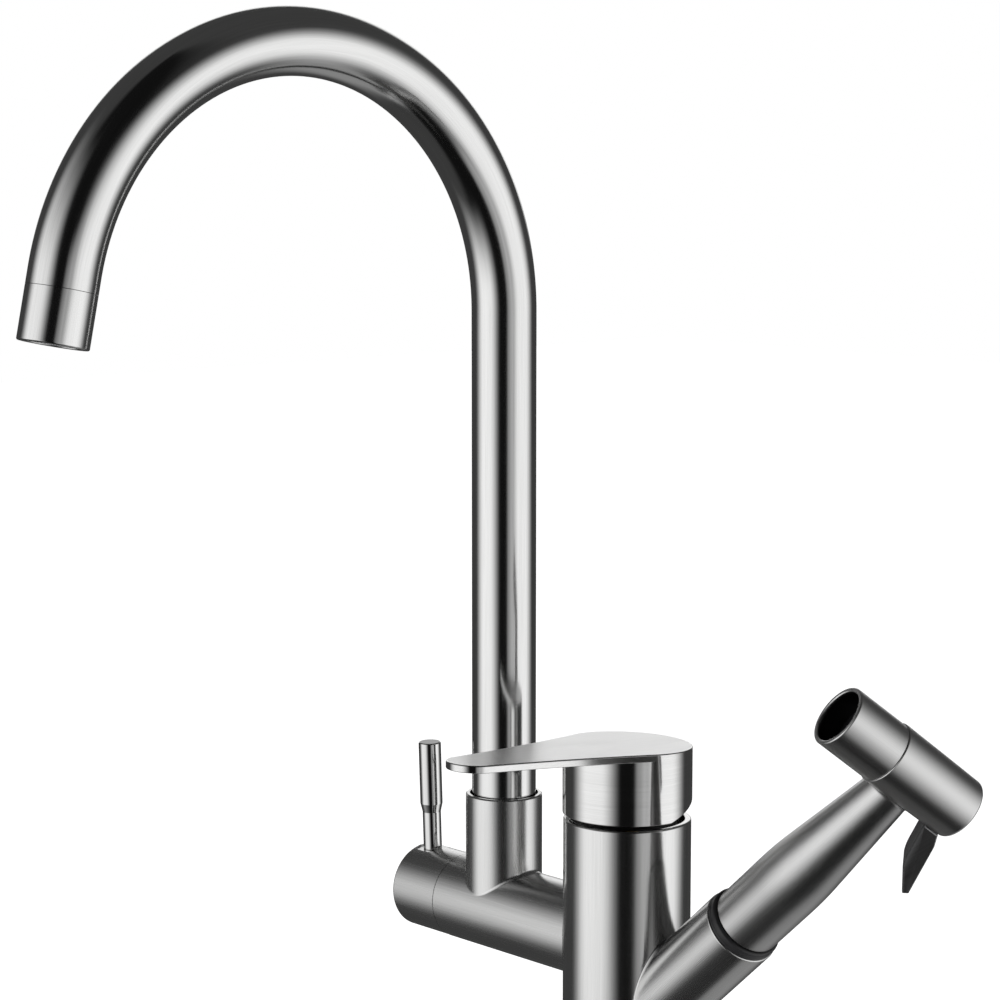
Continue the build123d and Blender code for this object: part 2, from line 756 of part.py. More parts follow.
tilt = radians(handle_tilt)
top_face = Plane(
    origin=(0, 0, top_height),
    x_dir=lever_side,
    z_dir=lever_way * -sin(tilt) + Vector(0, 0, cos(tilt)),
)
cap_reach = blade_side_radius + handle_radius
tip_reach = blade_side_radius + blade_tip_radius
side_along = (cap_reach**2 - tip_reach**2 + blade_reach**2) / (2 * blade_reach)
side_centre = Vector(side_along, sqrt(cap_reach**2 - side_along**2), 0)
tip_centre = Vector(blade_reach, 0, 0)
cap_point = side_centre * (handle_radius / cap_reach)
tip_point = tip_centre + (side_centre - tip_centre) * (blade_tip_radius / tip_reach)
to_waist = (cap_point + tip_point) * 0.5 - side_centre
waist_point = side_centre + to_waist * (blade_side_radius / to_waist.length)
top_room = (blade_reach + 2 * handle_radius) * tan(tilt) + edge_bevel
handle_foot = Plane(origin=(0, 0, rim_height + handle_gap), x_dir=lever_way, z_dir=(0, 0, 1))

with BuildPart() as below_blade:
    with BuildSketch(handle_foot.offset(-1)):
        with Locations((blade_reach, 0)):
            Rectangle(2 * blade_reach, 4 * handle_radius)
        Circle(handle_radius, mode=Mode.SUBTRACT)
    extrude(amount=handle_height + top_room)
    split(bisect_by=top_face.offset(-blade_thickness), keep=Keep.BOTTOM)

with BuildPart() as handle:
    with BuildSketch(handle_foot):
        with BuildLine():
            ThreePointArc(cap_point, (-handle_radius, 0), mirrored(cap_point))
            ThreePointArc(mirrored(cap_point), mirrored(waist_point), mirrored(tip_point))
            ThreePointArc(mirrored(tip_point), (blade_reach + blade_tip_radius, 0), tip_point)
            ThreePointArc(tip_point, waist_point, cap_point)
        make_face()
    extrude(amount=handle_height + top_room)
    split(bisect_by=top_face, keep=Keep.BOTTOM)
    fillet(handle.faces().filter_by(top_face).sort_by(Axis.Z)[-1].outer_wire().edges(), edge_bevel / 2)
    add(below_blade.part, mode=Mode.SUBTRACT)
    with BuildSketch(lever_section) as back_cut:
        with BuildLine():
            Polyline(
                (0, rim_height + handle_gap),
                (-2 * handle_radius, rim_height + handle_gap),
                (-2 * handle_radius, rim_height + handle_gap + 2 * handle_radius * tan(radians(back_cut_slope))),
                close=True,
            )
        make_face()
    extrude(amount=2 * handle_radius, both=True, mode=Mode.SUBTRACT)
    bar(
        deck,
        handle_radius - handle_wall,
        rim_height,
        top_height - ceiling_drop,
        mode=Mode.SUBTRACT,
    )
    bar(deck, hub_radius, hub_bottom, top_height - ceiling_drop)
    with BuildSketch(Plane(origin=(0, 0, hub_bottom), x_dir=lever_way, z_dir=(0, 0, 1))):
        Rectangle(stem_width + 2 * seat_gap, stem_width + 2 * seat_gap)
    extrude(amount=stem_top + seat_gap - hub_bottom, mode=Mode.SUBTRACT)
    back_line = Plane(origin=(0, 0, screw_height), x_dir=(0, 0, 1), z_dir=lever_way * -1)
    bar(back_line, screw_radius + seat_gap, 0, handle_radius + 1, mode=Mode.SUBTRACT)
    bar(back_line, plug_radius + seat_gap, handle_radius - plug_depth, handle_radius + 1, mode=Mode.SUBTRACT)

with BuildPart() as handle_screw:
    bar(back_line, screw_radius, stem_width / 2 + seat_gap, hub_radius + 1)

with BuildPart() as index_plug:
    bar(back_line, plug_radius, handle_radius - plug_depth + seat_gap, handle_radius - seat_gap)
    bar(back_line, screw_radius, handle_radius - handle_wall, handle_radius - plug_depth + seat_gap)

# Spray gun, the hose connector that slides in the dock

with BuildPart() as hose_connector:
    turned(
        dock,
        (connector_bore, connector_bottom - hose_thread_length),
        (hose_thread_radius, connector_bottom - hose_thread_length),
        (hose_thread_radius, connector_bottom),
        (connector_radius, connector_bottom),
        (connector_radius, grip_start),
        (connector_neck, grip_start),
        (connector_neck, connector_top),
        (connector_bore, connector_top),
    )
    groove(dock, connector_neck, 2 * ring_section - seat_gap, grip_start + 3, grip_start + 3 + 2 * ring_section)
    groove(
        dock,
        connector_neck,
        2 * clip_height,
        grip_start + bush_height + 2 * moving_gap,
        grip_start + bush_height + 2 * moving_gap + clip_height + 2 * seat_gap,
    )

with BuildPart() as connector_o_ring:
    ring(dock, connector_neck - ring_section, ring_section - seat_gap, grip_start + 3 + ring_section)

with BuildPart() as swivel_clip:
    bush(
        dock,
        connector_neck + 2 * clip_height,
        connector_neck - 2 * clip_height + seat_gap,
        grip_start + bush_height + 2 * moving_gap + seat_gap,
        grip_start + bush_height + 2 * moving_gap + seat_gap + clip_height,
    )

with BuildPart() as check_valve:
    bush(dock, connector_bore - seat_gap, connector_bore / 2, connector_top - 3 * connector_bore, connector_top - seat_gap)

# Spray gun, grip with its swivel bush and waterway

grip_end = head_distance - head_bore / 2
grip_end_radius = grip_radius - grip_taper * (grip_end - grip_shoulder)

grip_lean = atan(grip_taper)
curve_start = (grip_radius, grip_shoulder - grip_curve)
curve_end = (grip_radius - grip_curve * sin(grip_lean), grip_shoulder + grip_curve * cos(grip_lean))

with BuildPart() as spray_grip:
    with BuildSketch(Plane(origin=dock.origin, x_dir=dock.x_dir, z_dir=dock.y_dir * -1)):
        with BuildLine():
            Polyline((0, grip_start), (grip_radius - edge_bevel, grip_start), (grip_radius, grip_start + edge_bevel), curve_start)
            TangentArc(curve_start, curve_end, tangent=(0, 1))
            Polyline(curve_end, (grip_end_radius, grip_end), (0, grip_end), (0, grip_start))
        make_face()
    revolve(axis=Axis(dock.origin, dock.z_dir))
    turned(
        dock,
        (0, grip_start),
        (grip_radius - grip_wall, grip_start),
        (grip_radius - grip_wall, grip_shoulder),
        (grip_end_radius - grip_wall, grip_end),
        (0, grip_end),
        mode=Mode.SUBTRACT,
    )
    bar(head, head_radius_front + seat_gap, -head_back, sleeve_front, mode=Mode.SUBTRACT)

with BuildPart() as swivel_bush:
    bush(
        dock,
        grip_radius - grip_wall - seat_gap,
        connector_neck + running_gap,
        grip_start + moving_gap,
        grip_start + moving_gap + bush_height,
    )

with BuildPart() as grip_waterway:
    turned(
        dock,
        (waterway_radius - waterway_wall, waterway_start),
        (grip_radius - grip_wall - seat_gap, waterway_start),
        (grip_radius - grip_wall - seat_gap, waterway_start + 2),
        (waterway_radius, waterway_start + 2),
        (waterway_radius, waterway_end),
        (waterway_radius - waterway_wall, waterway_end),
    )

# Spray gun, head with its valve

with BuildPart() as spray_head:
    turned(
        head,
        (0, -head_back),
        (head_radius_rear, -head_back),
        (head_radius_front, head_seam - seat_gap),
        (0, head_seam - seat_gap),
    )
    fillet(spray_head.edges().filter_by(lambda e: e.geom_type == GeomType.CIRCLE).sort_by(head_line)[0], head_rounding)
    bar(dock, head_neck_radius, waterway_end - 2 * head_neck_radius, head_distance)
    bar(head, sleeve_radius + moving_gap, head_seam - seat_gap, sleeve_front, mode=Mode.SUBTRACT)
    bar(head, head_bore, head_back_wall - head_back, head_seam, mode=Mode.SUBTRACT)
    bar(dock, waterway_radius + seat_gap, waterway_end - 2 * head_neck_radius, waterway_end + seat_gap, mode=Mode.SUBTRACT)
    bar(dock, head_inlet_radius, waterway_end, head_distance, mode=Mode.SUBTRACT)
    trigger_slot = Plane(
        origin=head.from_local_coords((0, 0, -trigger_pivot_back)),
        x_dir=head.x_dir,
        z_dir=head.y_dir * -1,
    )
    with BuildSketch(trigger_slot):
        with Locations((0, -trigger_slot_lag)):
            Rectangle(trigger_width + 2 * moving_gap, trigger_slot_length)
    extrude(amount=head_radius_front + 1, mode=Mode.SUBTRACT)
    trigger_axis = Plane(
        origin=head.from_local_coords((0, -trigger_pivot_drop, -trigger_pivot_back)),
        x_dir=head.z_dir,
        z_dir=head.x_dir * -1,
    )
    bar(trigger_axis, trigger_pin_radius + seat_gap, -trigger_pin_half - seat_gap, trigger_pin_half + seat_gap, mode=Mode.SUBTRACT)

with BuildPart() as nozzle_sleeve:
    turned(
        head,
        (valve_seat_radius, head_seam - sleeve_spigot),
        (head_bore - seat_gap, head_seam - sleeve_spigot),
        (head_bore - seat_gap, head_seam),
        (sleeve_radius, head_seam),
        (sleeve_radius, sleeve_front),
        (sleeve_bore, sleeve_front),
        (sleeve_bore, plate_front - plate_height - nozzle_gasket_height),
        (sleeve_bore - washer_step, plate_front - plate_height - nozzle_gasket_height),
        (sleeve_bore - washer_step, head_seam + washer_step),
        (valve_seat_radius, head_seam + washer_step),
    )
    chamfer(nozzle_sleeve.faces().sort_by(head_line)[-1].edges(), sleeve_lip)

with BuildPart() as nozzle_gasket:
    bush(
        head,
        sleeve_bore - seat_gap,
        sleeve_bore - 3 * washer_step,
        plate_front - plate_height - nozzle_gasket_height,
        plate_front - plate_height,
    )

with BuildPart() as spray_plate:
    bar(head, sleeve_bore - seat_gap, plate_front - plate_height, plate_front)
    with BuildSketch(head.offset(plate_front - plate_height)):
        for count, share in ((6, 0.28), (12, 0.52), (18, 0.76)):
            with PolarLocations(share * sleeve_bore, count):
                Circle(spray_hole_radius)
    extrude(amount=plate_height, mode=Mode.SUBTRACT)

with BuildPart() as valve_gland:
    bush(head, head_bore - seat_gap, rod_radius + running_gap, gland_front - gland_height, gland_front)
    groove(
        head,
        head_bore - seat_gap,
        2 * seal_section - seat_gap,
        gland_front - gland_height / 2 - seal_section,
        gland_front - gland_height / 2 + seal_section,
    )

with BuildPart() as gland_o_ring:
    ring(head, head_bore - seal_section - seat_gap, seal_section - seat_gap, gland_front - gland_height / 2)

with BuildPart() as valve_plunger:
    bar(head, rod_radius, rod_end, plunger_back)
    bar(head, plunger_radius, plunger_back, plunger_back + plunger_height)
    bar(head, rod_radius, plunger_back + plunger_height, plunger_front - seat_gap)
    bar(head, button_radius, rod_end, button_front)

with BuildPart() as valve_seal:
    bush(head, plunger_radius, rod_radius + seat_gap, plunger_back + plunger_height, plunger_front)

spring_length = plunger_back - gland_front - spring_wire

with BuildPart() as return_spring:
    spring_base = head.offset(gland_front + spring_wire / 2)
    with BuildLine() as spring_line:
        Helix(
            pitch=spring_length / spring_turns,
            height=spring_length,
            radius=spring_radius,
            center=spring_base.origin,
            direction=spring_base.z_dir,
        )
    with BuildSketch(Plane(origin=spring_line.line @ 0, z_dir=spring_line.line % 0)):
        Circle(spring_wire / 2)
    sweep(path=spring_line.line, is_frenet=True)

# Trigger: a blade under the rear of the head, a fork above its pin that draws the plunger back

with BuildPart() as trigger:
    with BuildSketch(Plane(origin=head.origin, x_dir=head.y_dir * -1, z_dir=head.x_dir)):
        with BuildLine():
            Polyline((fork_foot, -fork_front), *trigger_front)
            ThreePointArc(trigger_front[-1], *trigger_knee)
            Polyline(trigger_knee[-1], *trigger_tip, *trigger_rear, (fork_foot, -fork_back))
            Line((fork_foot, -fork_back), (fork_foot, -fork_front))
        make_face()
    extrude(amount=trigger_width / 2, both=True)
    with BuildSketch(head.offset(fork_back)):
        with Locations((0, (fork_top - fork_foot) / 2)):
            Rectangle(fork_width, fork_top + fork_foot)
        with Locations((0, fork_top)):
            Rectangle(2 * (rod_radius + moving_gap), 2 * (fork_top + rod_radius + 2 * moving_gap), mode=Mode.SUBTRACT)
    extrude(amount=fork_thickness)
    bar(trigger_axis, trigger_pin_radius + running_gap, -fork_width, fork_width, mode=Mode.SUBTRACT)

with BuildPart() as trigger_pin:
    bar(trigger_axis, trigger_pin_radius, -trigger_pin_half, trigger_pin_half)

# Names and files

pieces = {
    "base_flange": base_flange, "base_gasket": base_gasket, "mounting_shank": mounting_shank,
    "rubber_washer": rubber_washer, "clamp_washer": clamp_washer, "lock_nut": lock_nut,
    "main_body": main_body, "dock_tube": dock_tube, "dock_guide": dock_guide, "side_arm": side_arm,
    "spout_tube": spout_tube, "spout_fitting": spout_fitting, "spout_o_rings": spout_o_rings,
    "slip_ring": slip_ring, "spout_screw": spout_screw, "tip_sleeve": tip_sleeve,
    "aerator_insert": aerator_insert, "aerator_washer": aerator_washer,
    "diverter_housing": diverter_housing, "diverter_o_rings": diverter_o_rings,
    "diverter_nut": diverter_nut, "return_tube": return_tube, "diverter_spindle": diverter_spindle,
    "diverter_cap": diverter_cap, "pin_lever": pin_lever, "cartridge_seat": cartridge_seat,
    "cartridge_base": cartridge_base, "cartridge_seals": cartridge_seals, "fixed_disc": fixed_disc,
    "cartridge_housing": cartridge_housing, "cartridge_nut": cartridge_nut, "bonnet_ring": bonnet_ring,
    "cartridge_carrier": cartridge_carrier, "stem_pin": stem_pin, "moving_disc": moving_disc,
    "cartridge_stem": cartridge_stem, "handle": handle, "handle_screw": handle_screw,
    "index_plug": index_plug, "hose_connector": hose_connector, "connector_o_ring": connector_o_ring,
    "swivel_clip": swivel_clip, "check_valve": check_valve, "spray_grip": spray_grip,
    "swivel_bush": swivel_bush, "grip_waterway": grip_waterway, "spray_head": spray_head,
    "nozzle_sleeve": nozzle_sleeve, "nozzle_gasket": nozzle_gasket, "spray_plate": spray_plate,
    "valve_gland": valve_gland, "gland_o_ring": gland_o_ring, "valve_plunger": valve_plunger,
    "valve_seal": valve_seal, "return_spring": return_spring, "trigger": trigger, "trigger_pin": trigger_pin,
}
for name, piece in pieces.items():
    piece.part.label = name
    export_step(piece.part, f"parts/{name}.step")
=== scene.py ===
import bmesh
import bpy
import numpy as np
from math import acos, atan, atan2, ceil, cos, degrees, hypot, pi, radians, sin, sqrt, tan
from mathutils import Matrix, Vector


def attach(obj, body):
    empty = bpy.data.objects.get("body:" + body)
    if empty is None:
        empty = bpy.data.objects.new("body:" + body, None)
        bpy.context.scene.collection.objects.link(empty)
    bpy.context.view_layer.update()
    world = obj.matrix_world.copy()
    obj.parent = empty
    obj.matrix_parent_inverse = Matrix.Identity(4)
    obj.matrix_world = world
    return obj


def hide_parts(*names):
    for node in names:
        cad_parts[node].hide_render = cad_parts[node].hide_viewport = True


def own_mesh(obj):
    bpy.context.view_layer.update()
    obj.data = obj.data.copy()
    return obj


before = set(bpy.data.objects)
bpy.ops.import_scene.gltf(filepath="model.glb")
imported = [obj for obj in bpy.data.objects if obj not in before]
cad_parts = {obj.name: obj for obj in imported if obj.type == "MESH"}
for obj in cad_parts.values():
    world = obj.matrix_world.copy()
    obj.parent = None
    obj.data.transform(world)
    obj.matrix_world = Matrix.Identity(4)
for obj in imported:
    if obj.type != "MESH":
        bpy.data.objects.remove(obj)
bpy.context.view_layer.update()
print("frame loaded,", len(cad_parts), "nodes")

mm = 0.001  # the sizes below are in millimetres, Blender's are in metres
perMetre = 1000.0


def addObject(name, data):
    made = bpy.data.objects.new(name, data)
    bpy.context.scene.collection.objects.link(made)
    return made


# Node trees: Wire is a socket that can be used in sums, Tree makes any other node

class Wire:
    def __init__(self, tree, socket):
        self.tree, self.socket = tree, socket

    def maths(self, operation, first, second=0.0):
        return self.tree.node("ShaderNodeMath", {"operation": operation}, {0: first, 1: second})

    def __add__(self, other):
        return self.maths("ADD", self, other)

    def __mul__(self, other):
        return self.maths("MULTIPLY", self, other)

    def __sub__(self, other):
        return self.maths("SUBTRACT", self, other)

    def __rsub__(self, other):
        return self.maths("SUBTRACT", other, self)

    def __truediv__(self, other):
        return self.maths("DIVIDE", self, other)

    def __rtruediv__(self, other):
        return self.maths("DIVIDE", other, self)

    __radd__ = __add__
    __rmul__ = __mul__

    def one(self, operation, other=0.0):
        return self.maths(operation, self, other)

    def pick(self, name):
        return Wire(self.tree, self.socket.node.outputs[name])


class Tree:
    def __init__(self, nodeTree):
        self.tree = nodeTree
        self.tree.nodes.clear()

    def node(self, kind, settings=None, sockets=None, out=0):
        made = self.tree.nodes.new(kind)
        for name, value in (settings or {}).items():
            setattr(made, name, value)
        for name, value in (sockets or {}).items():
            if isinstance(value, Wire):
                self.tree.links.new(value.socket, made.inputs[name])
            else:
                made.inputs[name].default_value = value
        return Wire(self, made.outputs[out]) if len(made.outputs) else None

    def split(self, vector):
        return self.node("ShaderNodeSeparateXYZ", {}, {0: vector})

    def ease(self, value, low, high, first=0.0, last=1.0):
        return self.node("ShaderNodeMapRange", {"interpolation_type": "SMOOTHSTEP"},
                         {0: value, 1: low, 2: high, 3: first, 4: last})


def newFinish(name):
    material = bpy.data.materials.new(name)
    material.use_nodes = True
    return material, Tree(material.node_tree)


def closeFinish(tree, sockets):
    tree.node("ShaderNodeOutputMaterial", {}, {0: tree.node("ShaderNodeBsdfPrincipled", {}, sockets)})


def facing(place, turn, tip):
    turned = Matrix.Translation(place) @ Matrix.Rotation(radians(turn), 4, "Z")
    return turned @ Matrix.Rotation(radians(tip), 4, "X")


# Camera at the photograph's view: place in metres, angles in degrees, lens and sensor in millimetres
view = {"place": (0.76232, -0.74104, 0.38970), "azimuth": 48.38, "down": 7.41,
        "lens": 104.4, "sensor": 36, "nearest": 0.01}
camera = addObject("camera", bpy.data.cameras.new("camera"))
camera.data.lens, camera.data.sensor_width = view["lens"], view["sensor"]
camera.data.clip_start = view["nearest"]
camera.matrix_world = facing(view["place"], view["azimuth"], 90 - view["down"])
bpy.context.scene.camera = camera
bpy.context.scene.view_settings.view_transform = "Standard"

# Studio: white to the camera, soft boxes that only light and reflections see, a pale floor and a lamp.
# A box is centred on turn (0 the faucet's front, 90 the spray gun's side) and reaches from low to high;
# half is half its width, and edge, below and above are its fading edges, all in degrees.
softBoxes = [
    # wide key, front left
    dict(turn=-17, half=14, edge=38, low=-10, high=5, below=38, above=53, power=1.05),
    # key, right
    dict(turn=117, half=14, edge=38, low=-22, high=-4, below=44, above=40, power=1.05),
    # grey panel between them
    dict(turn=70, half=4, edge=10, low=-40, high=2, below=18, above=18, power=0.32),
    # floor bounce, behind
    dict(turn=190, half=30, edge=30, low=-82, high=-52, below=8, above=22, power=0.24),
    # dim room behind
    dict(turn=228, half=100, edge=40, low=-90, high=90, below=1, above=1, power=0.045),
    # backdrop that the lever's top mirrors
    dict(turn=227, half=16, edge=12, low=5, high=20, below=6, above=12, power=1.05),
]
studio = {"dimmest": 0.006, "floorHalf": 3, "floorColour": (0.85, 0.85, 0.85, 1), "floorRough": 0.9,
          "floorGlow": 1.0, "lampPlace": (-0.5, -1.0, 1.6), "lampTurn": -26, "lampTip": 36,
          "lampSize": 1.2, "lampPower": 6}
white = (1, 1, 1, 1)

world = bpy.data.worlds.new("studio")
bpy.context.scene.world = world
world.use_nodes = True
sky = Tree(world.node_tree)
way = sky.split(sky.node("ShaderNodeTexCoord"))
azimuth = way.pick("X").one("ARCTAN2", way.pick("Y") * -1.0)
height = way.pick("Z").one("ARCSINE")
shine = None
for box in softBoxes:
    away = (azimuth - radians(box["turn"])).one("COSINE").one("ARCCOSINE")
    across = sky.ease(away, radians(box["half"]), radians(box["half"] + box["edge"]), 1.0, 0.0)
    under = sky.ease(height, radians(box["low"] - box["below"]), radians(box["low"]))
    over = sky.ease(height, radians(box["high"]), radians(box["high"] + box["above"]), 1.0, 0.0)
    glow = across * under * over * box["power"]
    shine = glow if shine is None else shine + glow
shine = shine + studio["dimmest"]
seen = sky.node("ShaderNodeLightPath").pick("Is Camera Ray")
strength = seen + (1 - seen) * shine
background = sky.node("ShaderNodeBackground", {}, {"Color": white, "Strength": strength})
sky.node("ShaderNodeOutputWorld", {}, {0: background})

side = studio["floorHalf"]
floorMesh = bpy.data.meshes.new("floor")
floorMesh.from_pydata([(-side, -side, 0), (side, -side, 0), (side, side, 0), (-side, side, 0)],
                      [], [(0, 1, 2, 3)])
floor = addObject("floor", floorMesh)
floor.visible_glossy = False
floorPaint, paint = newFinish("floorPaint")
closeFinish(paint, {"Base Color": studio["floorColour"], "Roughness": studio["floorRough"],
                    "Specular IOR Level": 0.0, "Emission Color": white,
                    "Emission Strength": studio["floorGlow"]})
floorMesh.materials.append(floorPaint)

lamp = addObject("lamp", bpy.data.lights.new("lamp", "AREA"))
lamp.data.size, lamp.data.energy = studio["lampSize"], studio["lampPower"]
lamp.matrix_world = facing(studio["lampPlace"], studio["lampTurn"], studio["lampTip"])
lamp.visible_glossy = False
print("studio ready")

# Where the main parts lie, in millimetres and degrees, and the two radii that several pieces follow
layout = {"armHeight": 82.9, "armRadius": 16.8, "dockHeight": 48.3, "dockRadius": 14.7, "slope": 42.25,
          "gunAngle": 79.3, "gunRoll": 41.7, "headReach": 184.8, "pinOffset": -112, "pinLean": 2}
slope, pinLean = radians(layout["slope"]), radians(layout["pinLean"])
gunAngle, gunRoll = radians(layout["gunAngle"]), radians(layout["gunRoll"])
forward = Vector((0, -1, 0))
dockWay = Vector((cos(slope), 0, sin(slope)))
dockUp = Vector((-sin(slope), 0, cos(slope)))
gunSide = forward * cos(gunRoll) + dockUp * sin(gunRoll)
headWay = dockWay * cos(gunAngle) + gunSide * sin(gunAngle)
headAcross = dockWay.cross(gunSide)

# Finishes. Each reads the piece's own grain attribute (millimetres, brushed along z) or Object
# coordinates in millimetres, turned so that the brushing runs along z.
uprightTurn = (0, 0, 0)
armTurn = (0, radians(90), 0)


def grainOf(tree, turn):
    if turn is None:
        return tree.node("ShaderNodeAttribute", {"attribute_name": "grain"}, out=1)
    place = tree.node("ShaderNodeTexCoord", out=3)
    return tree.node("ShaderNodeMapping", {},
                     {"Vector": place, "Rotation": turn, "Scale": (perMetre,) * 3})


def distance(first, second):
    return (first * first + second * second).one("SQRT")


def stretch(tree, grain, across, along):
    return tree.node("ShaderNodeVectorMath", {"operation": "MULTIPLY"},
                     {0: grain, 1: (across, across, along)})


def noise(tree, place, scale=1.0, detail=2.0, rough=0.5):
    return tree.node("ShaderNodeTexNoise", {},
                     {"Vector": place, "Scale": scale, "Detail": detail, "Roughness": rough})


def blendColour(tree, factor, first, second):
    # first and second are wires or three numbers each
    first, second = (shade if isinstance(shade, Wire) else (*shade, 1) for shade in (first, second))
    return tree.node("ShaderNodeMix", {"data_type": "RGBA"}, {0: factor, 6: first, 7: second}, out=2)


brush = {"hairDetail": 3.0, "hairRough": 0.6, "streakAcross": 0.45, "streakAlong": 0.006, "cloud": 0.03,
         "faint": 0.3, "strong": 0.7, "hairShare": 0.6, "streakShare": 0.4, "cloudRough": 0.05,
         "hairBump": 0.7, "streakBump": 0.3, "bumpDepth": 0.02, "branchFrom": 0.1, "branchTo": 0.6,
         "boreFade": 0.2, "lipFrom": 1.6, "lipTo": 0.4, "endFade": 0.05}


def brushedSteel(name, looks):
    material, tree = newFinish(name)
    grain = grainOf(tree, looks.get("turn"))
    if "runRadius" in looks:
        # the upright branch on a level tube is brushed upwards
        upright = grainOf(tree, uprightTurn)
        part = tree.split(upright)
        away = distance(part.pick("Y"), part.pick("Z") - looks["runHeight"])
        wall = looks["runRadius"]
        branch = tree.ease(away, wall + brush["branchFrom"], wall + brush["branchTo"])
        grain = tree.node("ShaderNodeMix", {"data_type": "VECTOR"},
                          {0: branch, 4: grain, 5: upright}, out=1)
    hair = noise(tree, stretch(tree, grain, looks["hairs"], looks["hairs"] * looks["stretch"]),
                 1.0, brush["hairDetail"], brush["hairRough"])
    streak = noise(tree, stretch(tree, grain, brush["streakAcross"], brush["streakAlong"]))
    cloud = noise(tree, grain, brush["cloud"])
    fine = tree.ease(hair, brush["faint"], brush["strong"])
    wide = tree.ease(streak, brush["faint"], brush["strong"])
    lines = fine * brush["hairShare"] + wide * brush["streakShare"]
    colour = blendColour(tree, lines, looks["dark"], looks["light"])
    if "bore" in looks:
        # the inside of a deep bore is painted near-black up to its lip, a painted shade
        part, bore, lip = tree.split(grain), looks["bore"], looks["lip"]
        radius = distance(part.pick("X"), part.pick("Y"))
        inside = tree.ease(radius, bore - brush["boreFade"], bore + brush["boreFade"], 1.0, 0.0)
        behind = tree.ease(part.pick("Z"), lip - brush["lipFrom"], lip - brush["lipTo"], 1.0, 0.0)
        colour = blendColour(tree, inside * behind, colour, looks["paintedDark"])
    if "end" in looks:
        # the flat end of a rod is painted dark, a painted reflection
        past = tree.ease(tree.split(grain).pick("Z"), looks["end"] - brush["endFade"], looks["end"])
        colour = blendColour(tree, past, colour, looks["paintedDark"])
    rough = lines * looks["spread"] + cloud * brush["cloudRough"] + looks["rough"]
    relief = hair * brush["hairBump"] + wide * brush["streakBump"]
    bump = tree.node("ShaderNodeBump", {}, {
        "Strength": looks["bump"], "Distance": brush["bumpDepth"] * mm, "Height": relief})
    closeFinish(tree, {"Base Color": colour, "Metallic": 1.0, "Roughness": rough, "Normal": bump})
    return material


mould = {"mottle": 0.25, "mottleDetail": 3.0, "mottleRough": 0.12, "poreRough": 0.06, "bumpDepth": 0.03}


def mouldedFinish(name, looks):
    # plastic, rubber, ceramic and brass: a faint mottle with pores
    material, tree = newFinish(name)
    place = grainOf(tree, uprightTurn)
    mottle = noise(tree, place, mould["mottle"], mould["mottleDetail"])
    pores = noise(tree, place, looks["pores"])
    colour = blendColour(tree, mottle, looks["dark"], looks["light"])
    rough = mottle * mould["mottleRough"] + pores * mould["poreRough"] + looks["rough"]
    bump = tree.node("ShaderNodeBump", {}, {
        "Strength": looks["bump"], "Distance": mould["bumpDepth"] * mm, "Height": pores})
    closeFinish(tree, {"Base Color": colour, "Roughness": rough, "Normal": bump,
                       "Metallic": looks.get("metal", 0.0)})
    return material


# rough is the least roughness and spread what the brushing adds; hairs is how fine its lines are and
# stretch how short; turn is given where a piece has no grain of its own
steel = {"dark": (0.70, 0.70, 0.695), "light": (0.80, 0.80, 0.795), "rough": 0.085, "spread": 0.05,
         "hairs": 3.2, "stretch": 0.01, "bump": 0.16}
softSteel = dict(steel, rough=0.2, spread=0.06)
gunLook = dict(steel, rough=0.27, spread=0.06)
capLook = dict(steel, rough=0.06, spread=0.03, bump=0.1)
brushedLooks = {
    "tubeSteel": steel,
    "bodySteel": dict(steel, rough=0.12, turn=uprightTurn),
    "armSteel": dict(softSteel, turn=armTurn, runRadius=layout["armRadius"],
                     runHeight=layout["armHeight"]),
    "dockSteel": softSteel,
    "gunSteel": gunLook,
    "headSteel": gunLook,
    # the nozzle sleeve's bore wall is painted near-black: painted shade in the deep bore
    "nozzleSteel": dict(gunLook, bore=10.0, lip=34.5, paintedDark=(0.07, 0.07, 0.072)),
    # the bonnet ring's steel is painted near-black: painted shade for the gap under the handle where it
    # shows
    "bonnetPaintedShade": dict(steel, dark=(0.10, 0.10, 0.10), light=(0.14, 0.14, 0.14), rough=0.4),
    "handleSteel": capLook,
    # the lever plate's flat top: a rougher satin brushing, with a paler colour that is a painted
    # highlight
    "leverSatinAndHighlight": dict(steel, dark=(0.88, 0.88, 0.875), light=(0.97, 0.97, 0.965), rough=0.28,
                       spread=0.08, bump=0.3),
    # the pin's flat top is painted dark: a painted reflection of dark surroundings
    "pinSteel": dict(capLook, end=59.98, paintedDark=(0.08, 0.08, 0.08)),
    # the trigger's steel is painted dark grey: a painted reflection of the dark surroundings its faces
    # turn to
    "triggerPaintedReflection": dict(steel, dark=(0.26, 0.26, 0.265), light=(0.33, 0.33, 0.335), rough=0.42),
    "fixingSteel": dict(softSteel, hairs=1.2, stretch=0.4, turn=uprightTurn),
}
mouldedLooks = {
    "brass": dict(
        dark=(0.55, 0.38, 0.16), light=(0.72, 0.52, 0.24), rough=0.28, pores=2.0, bump=0.2, metal=1.0),
    "guideBlack": dict(
        dark=(0.012, 0.012, 0.013), light=(0.02, 0.02, 0.021), rough=0.3, pores=1.5, bump=0.15),
    "nozzleBlack": dict(
        dark=(0.008, 0.008, 0.009), light=(0.015, 0.015, 0.016), rough=0.38, pores=2.0, bump=0.2),
    "greyPlastic": dict(
        dark=(0.30, 0.30, 0.31), light=(0.40, 0.40, 0.41), rough=0.35, pores=1.5, bump=0.15),
    "ceramic": dict(
        dark=(0.72, 0.72, 0.70), light=(0.85, 0.85, 0.83), rough=0.15, pores=3.0, bump=0.05),
    "rubber": dict(
        dark=(0.02, 0.02, 0.02), light=(0.04, 0.04, 0.04), rough=0.6, pores=3.0, bump=0.5),
}
finishes = {name: brushedSteel(name, looks) for name, looks in brushedLooks.items()}
finishes.update({name: mouldedFinish(name, looks) for name, looks in mouldedLooks.items()})
